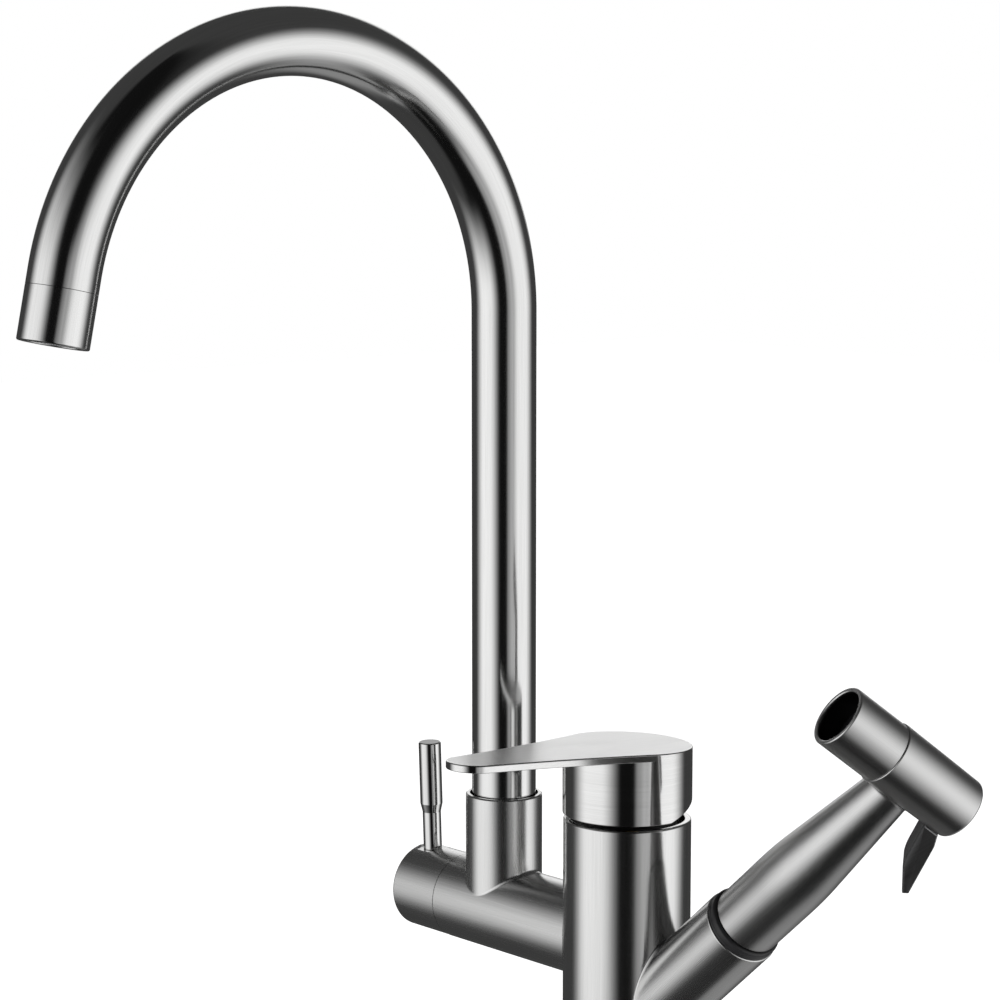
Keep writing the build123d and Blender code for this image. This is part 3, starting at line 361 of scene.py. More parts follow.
print("finishes ready:", len(finishes))


# Mesh helpers. A place is a 4x4 matrix whose z is the piece's axis.

def placeOf(origin, zWay, xWay):
    z, x = Vector(zWay).normalized(), Vector(xWay).normalized()
    y = z.cross(x)
    place = Matrix((x, y, z)).transposed().to_4x4()
    place.translation = Vector(origin)
    return place


def showPiece(name, points, faces, normals, grain):
    mesh = bpy.data.meshes.new(name)
    mesh.from_pydata((np.asarray(points) * mm).tolist(), [], faces)
    mesh.validate()
    mesh.shade_smooth()
    writeGrain(mesh, grain)
    mesh.normals_split_custom_set_from_vertices(np.asarray(normals).tolist())
    return addObject(name, mesh)


def writeGrain(mesh, grain):
    layer = mesh.attributes.new("grain", "FLOAT_VECTOR", "POINT")
    layer.data.foreach_set("vector", np.asarray(grain, np.float32).ravel())


def dress(piece, body, finish, slot, *nodes):
    piece.data.materials.clear()
    piece.data.materials.append(finishes[finish])
    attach(piece, body)
    if nodes:
        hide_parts(*nodes)


corner = {"straight": 0.02, "axis": 1e-6, "least": 0.04, "most": 0.45, "wide": 0.3, "wideStep": 12,
          "smallStep": 30}


def roundedOutline(outline):
    # outline: (radius, height, rounding) round the section, counter-clockwise; gives points and normals
    made = []
    for k, (radius, height, rounding) in enumerate(outline):
        here = Vector((radius, height))
        before = here - Vector(outline[k - 1][:2])
        after = Vector(outline[(k + 1) % len(outline)][:2]) - here
        a, b = before.normalized(), after.normalized()
        na, nb = Vector((a.y, -a.x)), Vector((b.y, -b.x))
        bend = atan2(a.x * b.y - a.y * b.x, a.dot(b))
        if abs(bend) < corner["straight"]:
            made.append((here, (na + nb).normalized()))
            continue
        if radius < corner["axis"]:
            made.append((here, Vector((0, na.y if abs(na.y) > abs(nb.y) else nb.y)).normalized()))
            continue
        slant, most = tan(abs(bend) / 2), corner["most"]
        size = min(max(rounding, corner["least"]),
                   most * before.length / slant, most * after.length / slant)
        outward = 1 if bend > 0 else -1
        centre = here - a * (size * slant) - na * size * outward
        stride = corner["wideStep"] if rounding > corner["wide"] else corner["smallStep"]
        steps = max(2, ceil(abs(degrees(bend)) / stride))
        for step in range(steps + 1):
            sine, cosine = sin(bend * step / steps), cos(bend * step / steps)
            n = Vector((na.x * cosine - na.y * sine, na.x * sine + na.y * cosine))
            made.append((centre + n * size * outward, n))
    return made


def turnedPiece(name, place, outline, sides=160, reshape=None):
    angles = np.linspace(0, 2 * pi, sides, endpoint=False)
    points, normals, rings = [], [], []
    for here, n in roundedOutline(outline):
        if here.x < 1e-4:  # on the axis
            rings.append([len(points)])
            points.append((0, 0, here.y))
            normals.append((0, 0, 1 if n.y > 0 else -1))
            continue
        rings.append(list(range(len(points), len(points) + sides)))
        for t in angles:
            points.append((here.x * cos(t), here.x * sin(t), here.y))
            normals.append((n.x * cos(t), n.x * sin(t), n.y))
    faces = []
    for k in range(len(rings)):
        low, high = rings[k], rings[(k + 1) % len(rings)]
        if len(low) == 1 and len(high) == 1:
            continue
        for j in range(sides):
            i = (j + 1) % sides
            if len(low) == 1:
                faces.append((low[0], high[i], high[j]))
            elif len(high) == 1:
                faces.append((low[j], low[i], high[0]))
            else:
                faces.append((low[j], low[i], high[i], high[j]))
    points = np.array(points, float)
    if reshape:
        points = reshape(points)
    turn = np.array(place.to_3x3())
    placed = points @ turn.T + np.array(place.translation)
    return showPiece(name, placed, faces, np.array(normals) @ turn.T, points)


def applyModifiers(piece):
    mesh = bpy.data.meshes.new_from_object(piece.evaluated_get(bpy.context.evaluated_depsgraph_get()))
    piece.modifiers.clear()
    piece.data = mesh


def cutWith(piece, *cutters):
    for cutter in cutters:
        modifier = piece.modifiers.new("port", "BOOLEAN")
        modifier.operation, modifier.solver, modifier.object = "DIFFERENCE", "EXACT", cutter
    applyModifiers(piece)
    for cutter in cutters:
        bpy.data.objects.remove(cutter)


def mergeInto(piece, *meshes):
    # joins shells of the same casting to a piece and turns all faces outwards
    build = bmesh.new()
    for mesh in (piece.data, *meshes):
        build.from_mesh(mesh)
    bmesh.ops.recalc_face_normals(build, faces=build.faces)
    build.to_mesh(piece.data)
    build.free()


crease = radians(35)  # sharper edges aren't shaded smooth


def smoothPiece(piece):
    piece.data.shade_smooth()
    piece.data.set_sharp_from_angle(angle=crease)


deck = Matrix.Identity(4)
arm = placeOf((0, 0, layout["armHeight"]), (-1, 0, 0), (0, 0, 1))
dock = placeOf((0, 0, layout["dockHeight"]), dockWay, dockUp)
head = placeOf(dock.translation + dockWay * layout["headReach"], headWay, headAcross)
pinWay = (0, -sin(pinLean), cos(pinLean))
pinAxis = placeOf((layout["pinOffset"], 0, layout["armHeight"]), pinWay, (1, 0, 0))

# Upright body: tube with a rounded rim, ports for the arm and the dock, and the two welds round them
body = {"radius": 24.0, "bore": 21.5, "foot": 6.0, "rim": 132.0, "rounding": 0.9, "weld": 0.7,
        "armPort": 12.9, "armPortDepth": 40, "dockPort": 11.0, "dockPortDepth": 60, "sides": 192,
        "fillet": {"count": 240, "steps": 8, "reach": 200.0, "halvings": 48, "sunk": 0.02, "back": 1.9}}
fillet = body["fillet"]


def portRod(name, place, radius, depth):
    return turnedPiece(name, place, [(0, 0, 0), (radius, 0, 0), (radius, depth, 0), (0, depth, 0)], 96)


def filletRing(branch, branchRadius):
    # a ball that rolls in the corner between the body and a branch leaves a soft fillet;
    # how far along the branch it sits is found by halving, for each angle round the branch
    size, steps = body["weld"], fillet["steps"]
    points, faces = [], []
    for k in range(fillet["count"]):
        t = 2 * pi * k / fillet["count"]
        rim = Vector((cos(t), sin(t), 0)) * (branchRadius + size)
        low, high = 0.0, fillet["reach"]
        for _ in range(fillet["halvings"]):
            middle = (low + high) / 2
            near = branch @ Vector((rim.x, rim.y, middle))
            if hypot(near.x, near.y) < body["radius"] + size:
                low = middle
            else:
                high = middle
        centre = branch @ Vector((rim.x, rim.y, low))
        flat = Vector((centre.x, centre.y, 0)).normalized()
        onBody = Vector((0, 0, centre.z)) + flat * (body["radius"] - fillet["sunk"])
        onBranch = branch @ (Vector((0, 0, low)) + rim.normalized() * (branchRadius - fillet["sunk"]))
        toWall, toTube = (onBody - centre).normalized(), (onBranch - centre).normalized()
        bend = acos(max(-1, min(1, toWall.dot(toTube))))
        for step in range(steps + 1):
            share = step / steps
            arrow = toWall * sin((1 - share) * bend) + toTube * sin(share * bend)
            points.append(centre + arrow / max(sin(bend), 1e-6) * size)
        # the back of the strip lies inside the two walls
        points.append(centre + (toWall + toTube).normalized() * size * fillet["back"])
    row = steps + 2
    for k in range(fillet["count"]):
        nextK = (k + 1) % fillet["count"]
        for step in range(row):
            other = (step + 1) % row
            faces.append((k * row + step, nextK * row + step, nextK * row + other, k * row + other))
    mesh = bpy.data.meshes.new("weld")
    mesh.from_pydata([tuple(point * mm) for point in points], [], faces)
    mesh.shade_smooth()
    writeGrain(mesh, [branch.inverted() @ point for point in points])
    return mesh


bodyTube = turnedPiece("bodyTube", deck, [
    (body["bore"], body["foot"], 0.1), (body["radius"], body["foot"], 0.15),
    (body["radius"], body["rim"], body["rounding"]), (body["bore"], body["rim"], 0.6)], body["sides"])
cutWith(bodyTube,
        portRod("armHole", arm, body["armPort"], body["armPortDepth"]),
        portRod("dockHole", dock, body["dockPort"], body["dockPortDepth"]))
smoothPiece(bodyTube)
welds = [filletRing(arm, layout["armRadius"]), filletRing(dock, layout["dockRadius"])]
mergeInto(bodyTube, *welds)
for mesh in welds:
    bpy.data.meshes.remove(mesh)
dress(bodyTube, "faucet_body", "bodySteel", "brushed_steel", "main_body")

# Slanted dock tube; its foot follows the body's wall
tube = {"radius": layout["dockRadius"], "bore": 13.2, "length": 80.6, "rounding": 0.55, "sink": 1.2,
        "footZone": 5}


def meetBody(points):
    points = points.copy()
    low = points[:, 2] < tube["footZone"]
    reach = body["radius"] - tube["sink"]
    x, y = points[low, 0], points[low, 1]
    points[low, 2] = (np.sqrt(reach ** 2 - y ** 2) + sin(slope) * x) / cos(slope)
    return points


dockTube = turnedPiece("dockTube", dock, [
    (tube["bore"], 0, 0.05), (tube["radius"], 0, 0.05),
    (tube["radius"], tube["length"], tube["rounding"]),
    (tube["bore"], tube["length"], 0.3)], reshape=meetBody)
dress(dockTube, "faucet_body", "dockSteel", "brushed_steel", "dock_tube")

# Black guide ring in the dock's mouth, with a fine groove round its lip
guide = {"bore": 10.9, "inset": 22.0, "lip": 3.6, "lipRadius": 14.2, "rounding": 2.3, "seat": 13.15,
         "groove": ((1.0, 0.0, 0.1), (1.06, 0.12, 0.05), (1.16, 0.12, 0.05), (1.22, 0.0, 0.1))}
mouth = tube["length"]
dockGuide = turnedPiece("dockGuide", dock, [
    (guide["bore"], mouth - guide["inset"], 0.3), (guide["seat"], mouth - guide["inset"], 0.2),
    (guide["seat"], mouth, 0.05), (guide["lipRadius"], mouth + 0.02, 0.15),
    *[(guide["lipRadius"] - depth, mouth + rise, rounding) for rise, depth, rounding in guide["groove"]],
    (guide["lipRadius"], mouth + guide["lip"], guide["rounding"]),
    (guide["bore"], mouth + guide["lip"], 0.4)])
dress(dockGuide, "faucet_body", "guideBlack", "black_plastic", "dock_guide")

# Foot flange, with a recess for its gasket and a spigot that centres the body
flange = {"radius": 27.0, "top": 5.99, "rounding": 2.0, "spigot": 16.0, "spigotRadius": 21.45,
          "bore": 16.05, "gasketOuter": 25.0, "gasketInner": 20.5, "gasketDepth": 2.2}
baseFlange = turnedPiece("baseFlange", deck, [
    (flange["bore"], 0, 0.1), (flange["gasketInner"], 0, 0.1),
    (flange["gasketInner"], flange["gasketDepth"], 0.05),
    (flange["gasketOuter"], flange["gasketDepth"], 0.05),
    (flange["gasketOuter"], 0, 0.1), (flange["radius"], 0, 0.3),
    (flange["radius"], flange["top"], flange["rounding"]), (flange["spigotRadius"], flange["top"], 0.05),
    (flange["spigotRadius"], flange["spigot"], 0.3), (flange["bore"], flange["spigot"], 0.3)])
dress(baseFlange, "faucet_body", "bodySteel", "brushed_steel", "base_flange")

# Domed bonnet ring under the handle
bonnet = {"radius": 23.4, "wall": 1.5, "centre": 116.0, "hole": 12.0, "skirt": 20.6, "foot": 124.0,
          "steps": 12}


def domeRows(radius, skirt, numbers):
    start, end = acos(skirt / radius), acos(bonnet["hole"] / radius)
    angles = [start + (end - start) * k / bonnet["steps"] for k in numbers]
    return [(radius * cos(t), bonnet["centre"] + radius * sin(t), 0.05) for t in angles]


outer, inner = bonnet["radius"], bonnet["radius"] - bonnet["wall"]
skirtInner = bonnet["skirt"] - bonnet["wall"]
skirtTop = bonnet["centre"] + sqrt(outer ** 2 - bonnet["skirt"] ** 2)
bonnetRing = turnedPiece("bonnetRing", deck, [
    (skirtInner, bonnet["foot"], 0.1), (bonnet["skirt"], bonnet["foot"], 0.1),
    (bonnet["skirt"], skirtTop, 0.05),
    *domeRows(outer, bonnet["skirt"], range(1, bonnet["steps"] + 1)),
    *domeRows(inner, skirtInner, range(bonnet["steps"], -1, -1))], sides=128)
dress(bonnetRing, "faucet_body", "bonnetPaintedShade", "brushed_steel", "bonnet_ring")
print("body and dock ready")

# Swan-neck spout: a grid laid along the neck's line
spout = {"foot": 115.0, "bendStart": 318.2, "bendRadius": 100.6, "sweep": 167.8, "outlet": 5.7,
         "radius": 12.5, "bore": 11.0, "offset": -69.4, "steps": 150, "sides": 128, "seam": 0.02}


def newTree(name, sizes):
    group = bpy.data.node_groups.new(name, "GeometryNodeTree")
    tree = Tree(group)
    for flow in ("INPUT", "OUTPUT"):
        group.interface.new_socket("Geometry", in_out=flow, socket_type="NodeSocketGeometry")
    for label, value in sizes.items():
        kind = "NodeSocketInt" if isinstance(value, int) else "NodeSocketFloat"
        group.interface.new_socket(label, in_out="INPUT", socket_type=kind)
    return group, tree, tree.node("NodeGroupInput")


def runTree(name, group, sizes):
    piece = addObject(name, bpy.data.meshes.new(name))
    modifier = piece.modifiers.new(name, "NODES")
    modifier.node_group = group
    for item in group.interface.items_tree:
        if item.item_type == "SOCKET" and item.in_out == "INPUT" and item.name in sizes:
            modifier[item.identifier] = sizes[item.name]
    applyModifiers(piece)
    piece.data.name = name
    mergeInto(piece)
    smoothPiece(piece)
    return piece


def closeTree(tree, shape, finish):
    shape = tree.node("GeometryNodeRealizeInstances", {}, {0: shape})
    shape = tree.node("GeometryNodeSetMaterial", {}, {0: shape, 2: finishes[finish]})
    tree.node("NodeGroupOutput", {}, {0: shape})


def choose(tree, test, no, yes):
    return tree.node("GeometryNodeSwitch", {"input_type": "FLOAT"}, {0: test, 1: no, 2: yes})


def vectorOf(tree, x, y, z):
    return tree.node("ShaderNodeCombineXYZ", {}, {0: x, 1: y, 2: z})


def gridOf(tree, rows, columns):
    # a grid whose row and column numbers give each point's place
    grid = tree.node("GeometryNodeMeshGrid", {}, {0: 1.0, 1: 1.0, 2: rows, 3: columns})
    index = tree.node("GeometryNodeInputIndex")
    row = (index / columns + 0.0001).one("FLOOR")  # guards against rounding
    return grid, row, index - row * columns


def swanNeck():
    sizes = {"Foot": spout["foot"] * mm, "Bend start": spout["bendStart"] * mm,
             "Bend radius": spout["bendRadius"] * mm, "Sweep": radians(spout["sweep"]),
             "Outlet": spout["outlet"] * mm, "Radius": spout["radius"] * mm, "Bore": spout["bore"] * mm,
             "Offset": spout["offset"] * mm, "Steps": spout["steps"], "Sides": spout["sides"]}
    group, tree, given = newTree("swanNeck", sizes)
    foot, bendRadius, radius = given.pick("Foot"), given.pick("Bend radius"), given.pick("Radius")
    steps, sides = given.pick("Steps"), given.pick("Sides")
    # the rows run along the outside, back along the bore, and close on the foot's outer edge
    grid, row, column = gridOf(tree, steps * 2.0 + 3.0, sides + 1.0)
    back = row.one("GREATER_THAN", steps + 0.5)
    last = row.one("GREATER_THAN", steps * 2.0 + 1.5)
    share = choose(tree, back, row, steps * 2.0 + 1.0 - row).one("MAXIMUM", 0.0) / steps
    share = choose(tree, last, share, 0.0)
    ring = choose(tree, last, choose(tree, back, radius, given.pick("Bore")), radius)
    # the neck's line: upright, round the bend, then straight on to the outlet
    upright = given.pick("Bend start") - foot
    bend = bendRadius * given.pick("Sweep")
    along = share * (upright + bend + given.pick("Outlet"))
    turn = ((along - upright).one("MAXIMUM", 0.0).one("MINIMUM", bend)) / bendRadius
    past = (along - upright - bend).one("MAXIMUM", 0.0)
    rise = along.one("MINIMUM", upright)
    sine, cosine = turn.one("SINE"), turn.one("COSINE")
    lineY = (bendRadius * (1.0 - cosine) + past * sine) * -1.0
    lineZ = foot + rise + bendRadius * sine + past * cosine
    around = column / sides * (2 * pi)
    sideX, sideY = ring * around.one("COSINE"), ring * around.one("SINE")
    place = vectorOf(tree, given.pick("Offset") + sideX, lineY + sideY * cosine, lineZ + sideY * sine)
    shape = tree.node("GeometryNodeSetPosition", {}, {0: grid, 2: place})
    grain = vectorOf(tree, sideX * perMetre, sideY * perMetre, along * perMetre)
    shape = tree.node("GeometryNodeStoreNamedAttribute", {"data_type": "FLOAT_VECTOR", "domain": "POINT"},
                      {0: shape, 2: "grain", 3: grain})
    shape = tree.node("GeometryNodeMergeByDistance", {}, {0: shape, 2: spout["seam"] * mm})
    closeTree(tree, shape, "tubeSteel")
    return runTree("spoutTube", group, sizes)


spoutTube = swanNeck()
dress(spoutTube, "spout", "tubeSteel", "brushed_steel", "spout_tube")

# Spout tip, a sleeve that holds the aerator
tip = {"length": 19.2, "bore": 9.65, "spigot": 6.0, "spigotRadius": 10.95, "start": 0.05, "seam": 0.18,
       "rim": 0.6}
sweep = radians(spout["sweep"])
outletWay = Vector((0, -sin(sweep), cos(sweep)))
bendEnd = Vector((spout["offset"], -spout["bendRadius"] * (1 - cos(sweep)),
                  spout["bendStart"] + spout["bendRadius"] * sin(sweep)))
tipJoint = placeOf(bendEnd + outletWay * spout["outlet"], outletWay, (1, 0, 0))
tipSleeve = turnedPiece("tipSleeve", tipJoint, [
    (tip["bore"], -tip["spigot"], 0.2), (tip["spigotRadius"], -tip["spigot"], 0.2),
    (tip["spigotRadius"], tip["start"], 0.05), (spout["radius"], tip["start"], tip["seam"]),
    (spout["radius"], tip["length"], tip["rim"]), (tip["bore"], tip["length"], 0.4)], sides=144)
dress(tipSleeve, "spout", "tubeSteel", "brushed_steel", "tip_sleeve")
print("spout ready")

# Pin lever on the diverter cap
pin = {"radius": 3.7, "gripRadius": 4.5, "coneStart": 31.3, "coneEnd": 34.8, "top": 60.0, "foot": 15.8,
       "stud": 2.4, "studFoot": 4.05}
pinLever = turnedPiece("pinLever", pinAxis, [
    (0, pin["studFoot"], 0), (pin["stud"], pin["studFoot"], 0.2), (pin["stud"], pin["foot"], 0.05),
    (pin["radius"], pin["foot"], 0.25), (pin["radius"], pin["coneStart"], 1.2),
    (pin["gripRadius"], pin["coneEnd"], 1.2), (pin["gripRadius"], pin["top"], 0.6),
    (0, pin["top"], 0)], sides=96)
dress(pinLever, "diverter", "pinSteel", "pin_steel", "pin_lever")

# Nozzle sleeve of the spray head
sleeve = {"radius": 11.3, "front": 34.5, "bore": 9.65, "lip": 0.6, "seam": 11.95, "spigot": 3.0,
          "spigotRadius": 8.95, "seat": 3.5, "step": 0.9, "plateBack": 21.9}
spigotFoot, floorFront = sleeve["seam"] - sleeve["spigot"], sleeve["seam"] + sleeve["step"]
stepBore = sleeve["bore"] - sleeve["step"]
nozzleSleeve = turnedPiece("nozzleSleeve", head, [
    (sleeve["seat"], spigotFoot, 0.2), (sleeve["spigotRadius"], spigotFoot, 0.2),
    (sleeve["spigotRadius"], sleeve["seam"], 0.05), (sleeve["radius"], sleeve["seam"], 0.2),
    (sleeve["radius"], sleeve["front"], sleeve["lip"]), (sleeve["bore"], sleeve["front"], sleeve["lip"]),
    (sleeve["bore"], sleeve["plateBack"], 0.1), (stepBore, sleeve["plateBack"], 0.1),
    (stepBore, floorFront, 0.2), (sleeve["seat"], floorFront, 0.2)], sides=144)
dress(nozzleSleeve, "spray_gun", "nozzleSteel", "brushed_steel", "nozzle_sleeve")

# Grip of the spray gun: a bottle shape whose top end follows the head's round wall;
# flareRows: (distance from the end, share of the flare)
grip = {"start": 84.55, "radius": 13.1, "wall": 1.5, "bevel": 0.5, "shoulder": 117.4, "soft": 8.0,
        "softRows": 13, "taper": 0.083, "taperRows": (130.0, 145.0, 158.0), "end": 172.0, "lastRow": 5,
        "slidLength": 6, "flare": 0.45, "flareRows": ((1.0, 0.0), (0.55, 0.12), (0.25, 0.4), (0.0, 1.0))}
gunHead = {"radius": 11.8, "rear": 11.3, "back": 24.4, "seam": 11.9, "rounding": 1.4, "bore": 9.0,
           "wall": 3.0, "swell": ((11.36, -20.0), (11.58, -6.0), (11.7, 5.0)),
           "slot": {"half": 4.35, "front": 12.5, "rear": 20.7, "middle": -9.0, "depth": 12.0},
           "neck": {"radius": 6.0, "foot": 155.0, "shelf": 167.05, "bore": 4.05, "inlet": 3.6,
                    "top": 174.6}}


def gripRadius(height):
    lean = atan(grip["taper"])
    past = height - grip["shoulder"]
    if past < -grip["soft"]:
        return grip["radius"]
    if past > grip["soft"] * cos(lean):
        return grip["radius"] - grip["taper"] * past
    bend = grip["soft"] / tan(lean / 2)
    return grip["radius"] - bend + sqrt(bend ** 2 - (past + grip["soft"]) ** 2)


def headMeets(points):
    # slides the last rings along the grip until they lie on the head's wall
    points = points.copy()
    way = np.array([headWay.dot(dockUp), headWay.dot(forward), headWay.dot(dockWay)])
    for k in np.nonzero(points[:, 2] > grip["end"] - grip["slidLength"])[0]:
        x, y, z = points[k]
        spare = hypot(x, y) - gripRadius(z)
        back = grip["end"] - z
        for _ in range(4):  # comes nearer each time
            sideways = x * way[0] + y * way[1]
            a, b = 1 - way[2] ** 2, -2 * sideways * way[2]
            c = x * x + y * y - sideways ** 2 - gunHead["radius"] ** 2
            z = layout["headReach"] + (-b - sqrt(b * b - 4 * a * c)) / (2 * a) - back
            scale = (gripRadius(z) + spare) / hypot(x, y)
            x, y = x * scale, y * scale
        points[k] = x, y, z
    return points


end, shoulder, wall = grip["end"], grip["shoulder"], grip["wall"]
rows = [*np.linspace(shoulder - grip["soft"], shoulder + grip["soft"], grip["softRows"]),
        *grip["taperRows"], end - grip["lastRow"]]
sprayGrip = turnedPiece("sprayGrip", dock, [
    (grip["radius"], grip["start"], grip["bevel"]),
    *[(gripRadius(row), row, 0) for row in rows],
    *[(gripRadius(end - back) + grip["flare"] * share, end - back, 0)
      for back, share in grip["flareRows"]],
    (gripRadius(end) - wall, end, 0), (gripRadius(shoulder) - wall, shoulder, 0),
    (grip["radius"] - wall, grip["start"], 0.2)], reshape=headMeets)
dress(sprayGrip, "spray_gun", "gunSteel", "brushed_steel", "spray_grip")

# Head of the spray gun: turned, with the trigger's slot cut in it and a neck that sits in the grip
slot, neck = gunHead["slot"], gunHead["neck"]
boreEnd = gunHead["wall"] - gunHead["back"]
sprayHead = turnedPiece("sprayHead", head, [
    (0, -gunHead["back"], 0), (gunHead["rear"], -gunHead["back"], gunHead["rounding"]),
    *[(radius, height, 0) for radius, height in gunHead["swell"]],
    (gunHead["radius"], gunHead["seam"], 0.3), (gunHead["bore"], gunHead["seam"], 0.1),
    (gunHead["bore"], boreEnd, 0.2), (0, boreEnd, 0)])
slotPlace = (head @ Matrix.Translation((0, slot["middle"], -(slot["front"] + slot["rear"]) / 2))
             @ Matrix.Diagonal((2 * slot["half"], slot["depth"], slot["rear"] - slot["front"], 1)))
slotMesh = bpy.data.meshes.new("slotCut")
slotBox = bmesh.new()
bmesh.ops.create_cube(slotBox, size=1.0, matrix=slotPlace)
bmesh.ops.scale(slotBox, vec=(mm, mm, mm), verts=slotBox.verts)
slotBox.to_mesh(slotMesh)
slotBox.free()
cutWith(sprayHead, addObject("slotCut", slotMesh))
neckTube = turnedPiece("neckTube", dock, [
    (neck["bore"], neck["foot"], 0.1), (neck["radius"], neck["foot"], 0.3),
    (neck["radius"], neck["top"], 0.1), (neck["inlet"], neck["top"], 0.1),
    (neck["inlet"], neck["shelf"], 0.1), (neck["bore"], neck["shelf"], 0.1)], sides=64)
mergeInto(sprayHead, neckTube.data)
bpy.data.objects.remove(neckTube)
smoothPiece(sprayHead)
dress(sprayHead, "spray_gun", "headSteel", "brushed_steel", "spray_head")
print("turned pieces ready")


# Slabs: an outline (x, y) between two faces, with rounded or bevelled edges

def slabShell(outline, ways, low, high, lowRound, highRound, steps=1):
    # ways: unit normals of the outline; low, high: heights, numbers or functions of x
    lowAt, highAt = (f if callable(f) else (lambda x, f=f: f + 0 * x) for f in (low, high))
    quarter = [pi / 2 * k / steps for k in range(steps + 1)]
    rows = [(highRound * (1 - sin(t)), highRound * (1 - cos(t)), True, sin(t), cos(t))
            for t in quarter]
    rows += [(lowRound * (1 - cos(t)), lowRound * (1 - sin(t)), False, cos(t), -sin(t))
             for t in quarter]
    points, normals, faces = [], [], []
    count = len(outline)
    flat = ways / np.linalg.norm(ways, axis=1, keepdims=True)
    for inset, depth, fromTop, side, up in rows:
        place = outline - ways * inset
        height = highAt(place[:, 0]) - depth if fromTop else lowAt(place[:, 0]) + depth
        points.append(np.column_stack([place, height]))
        normals.append(np.column_stack([flat * side, np.full(count, up)]))
    for row in range(len(rows) - 1):
        for k in range(count):
            j = (k + 1) % count
            faces.append((row * count + k, (row + 1) * count + k, (row + 1) * count + j, row * count + j))
    faces.append(tuple(range(count)))
    faces.append(tuple(reversed(range((len(rows) - 1) * count, len(rows) * count))))
    return np.vstack(points), np.vstack(normals), faces


def mitredWays(outline):
    ahead = np.roll(outline, -1, 0) - outline
    ahead /= np.linalg.norm(ahead, axis=1, keepdims=True)
    right = np.column_stack([ahead[:, 1], -ahead[:, 0]])
    before = np.roll(right, 1, 0)
    return (right + before) / (1 + (right * before).sum(1))[:, None]


def joinShells(name, place, shells):
    # shells: (points, normals, faces, grain) in the place's own millimetres
    turn = np.array(place.to_3x3())
    points, normals, faces, grain = [], [], [], []
    start = 0
    for corners, ways, sides, brushing in shells:
        points.append(corners @ turn.T + np.array(place.translation))
        normals.append(ways @ turn.T)
        faces += [tuple(k + start for k in face) for face in sides]
        grain.append(brushing)
        start += len(corners)
    return showPiece(name, np.vstack(points), faces, np.vstack(normals), np.vstack(grain))


lengthwise = [1, 2, 0]  # grain columns, brushed along x

# Lever handle: a round cap with a teardrop plate on it, its top tilted up towards the tip.
# waist is the radius of its sides, cut the slant that frees the cap's back when the lever is raised.
lever = {"turn": 2, "radius": 24.3, "foot": 133.8, "top": 160.2, "tilt": 2.8, "plate": 2.8,
         "reach": 74.2, "tip": 9.9, "waist": 450.0, "edge": 0.55, "under": 0.3, "edgeSteps": 6,
         "capPoints": 150, "waistPoints": 26, "tipPoints": 60,
         "cap": {"rim": 0.4, "wall": 2.2, "ceiling": 155.2, "hub": 8.0, "hubFoot": 143.0,
                 "socket": 4.4, "socketTop": 151.1, "top": 158.0, "topZone": 157, "cut": 17,
                 "cutZone": 138, "sides": 192}}
cap = lever["cap"]
tilt, leverTurn = radians(lever["tilt"]), radians(lever["turn"])
leverWay = Vector((-sin(leverTurn), -cos(leverTurn), 0))
leverPlace = placeOf((0, 0, 0), (0, 0, 1), leverWay)


def leverOutline():
    capReach, tipReach = lever["waist"] + lever["radius"], lever["waist"] + lever["tip"]
    along = (capReach ** 2 - tipReach ** 2 + lever["reach"] ** 2) / (2 * lever["reach"])
    side = np.array([along, sqrt(capReach ** 2 - along ** 2)])
    tipCentre = np.array([lever["reach"], 0.0])
    capAngle = atan2(side[1], side[0])
    tipAngle = atan2(side[1], side[0] - lever["reach"])
    points, ways = [], []
    for t in np.linspace(capAngle, 2 * pi - capAngle, lever["capPoints"]):
        ways.append((cos(t), sin(t)))
        points.append(np.array(ways[-1]) * lever["radius"])
    waist = []
    start, end = atan2(-side[1], -side[0]), atan2(-side[1], lever["reach"] - side[0])
    for t in np.linspace(start, end, lever["waistPoints"])[1:-1]:
        arrow = np.array([cos(t), sin(t)])
        waist.append((side + arrow * lever["waist"], -arrow))
    for point, way in waist:
        points.append(point * (1, -1))
        ways.append(way * (1, -1))
    for t in np.linspace(-tipAngle, tipAngle, lever["tipPoints"]):
        ways.append((cos(t), sin(t)))
        points.append(tipCentre + np.array(ways[-1]) * lever["tip"])
    for point, way in reversed(waist):
        points.append(point)
        ways.append(way)
    return np.array(points), np.array(ways, float)


def plateTop(x):
    return lever["top"] + x * tan(tilt)


def plateFoot(x):
    return plateTop(x) - lever["plate"]


def capShape(points):
    # slants the cap's foot at the back and lets its top follow the plate
    points = points.copy()
    low = points[:, 2] < cap["cutZone"]
    points[low, 2] += np.maximum(0, -points[low, 0]) * tan(radians(cap["cut"]))
    high = points[:, 2] > cap["topZone"]
    points[high, 2] = plateTop(points[high, 0]) - lever["plate"] / 2
    return points


outline, ways = leverOutline()
points, normals, faces = slabShell(outline, ways, plateFoot, plateTop, lever["under"], lever["edge"],
                                   lever["edgeSteps"])
tiltTurn = np.array(Matrix.Rotation(-tilt, 3, "Y"))
plate = (points, normals @ tiltTurn.T, faces, points[:, lengthwise])
inside = lever["radius"] - cap["wall"]
capCup = turnedPiece("cup", Matrix.Identity(4), [
    (inside, lever["foot"], 0.2), (lever["radius"], lever["foot"], cap["rim"]),
    (lever["radius"], cap["top"], 0.05), (0, cap["top"], 0), (0, cap["socketTop"], 0),
    (cap["socket"], cap["socketTop"], 0.1), (cap["socket"], cap["hubFoot"], 0.1),
    (cap["hub"], cap["hubFoot"], 0.3), (cap["hub"], cap["ceiling"], 0.4),
    (inside, cap["ceiling"], 0.6)], cap["sides"], capShape)
points = np.array([corner.co[:] for corner in capCup.data.vertices]) / mm
normals = np.array([corner.vector[:] for corner in capCup.data.vertex_normals])
faces = [tuple(face.vertices) for face in capCup.data.polygons]
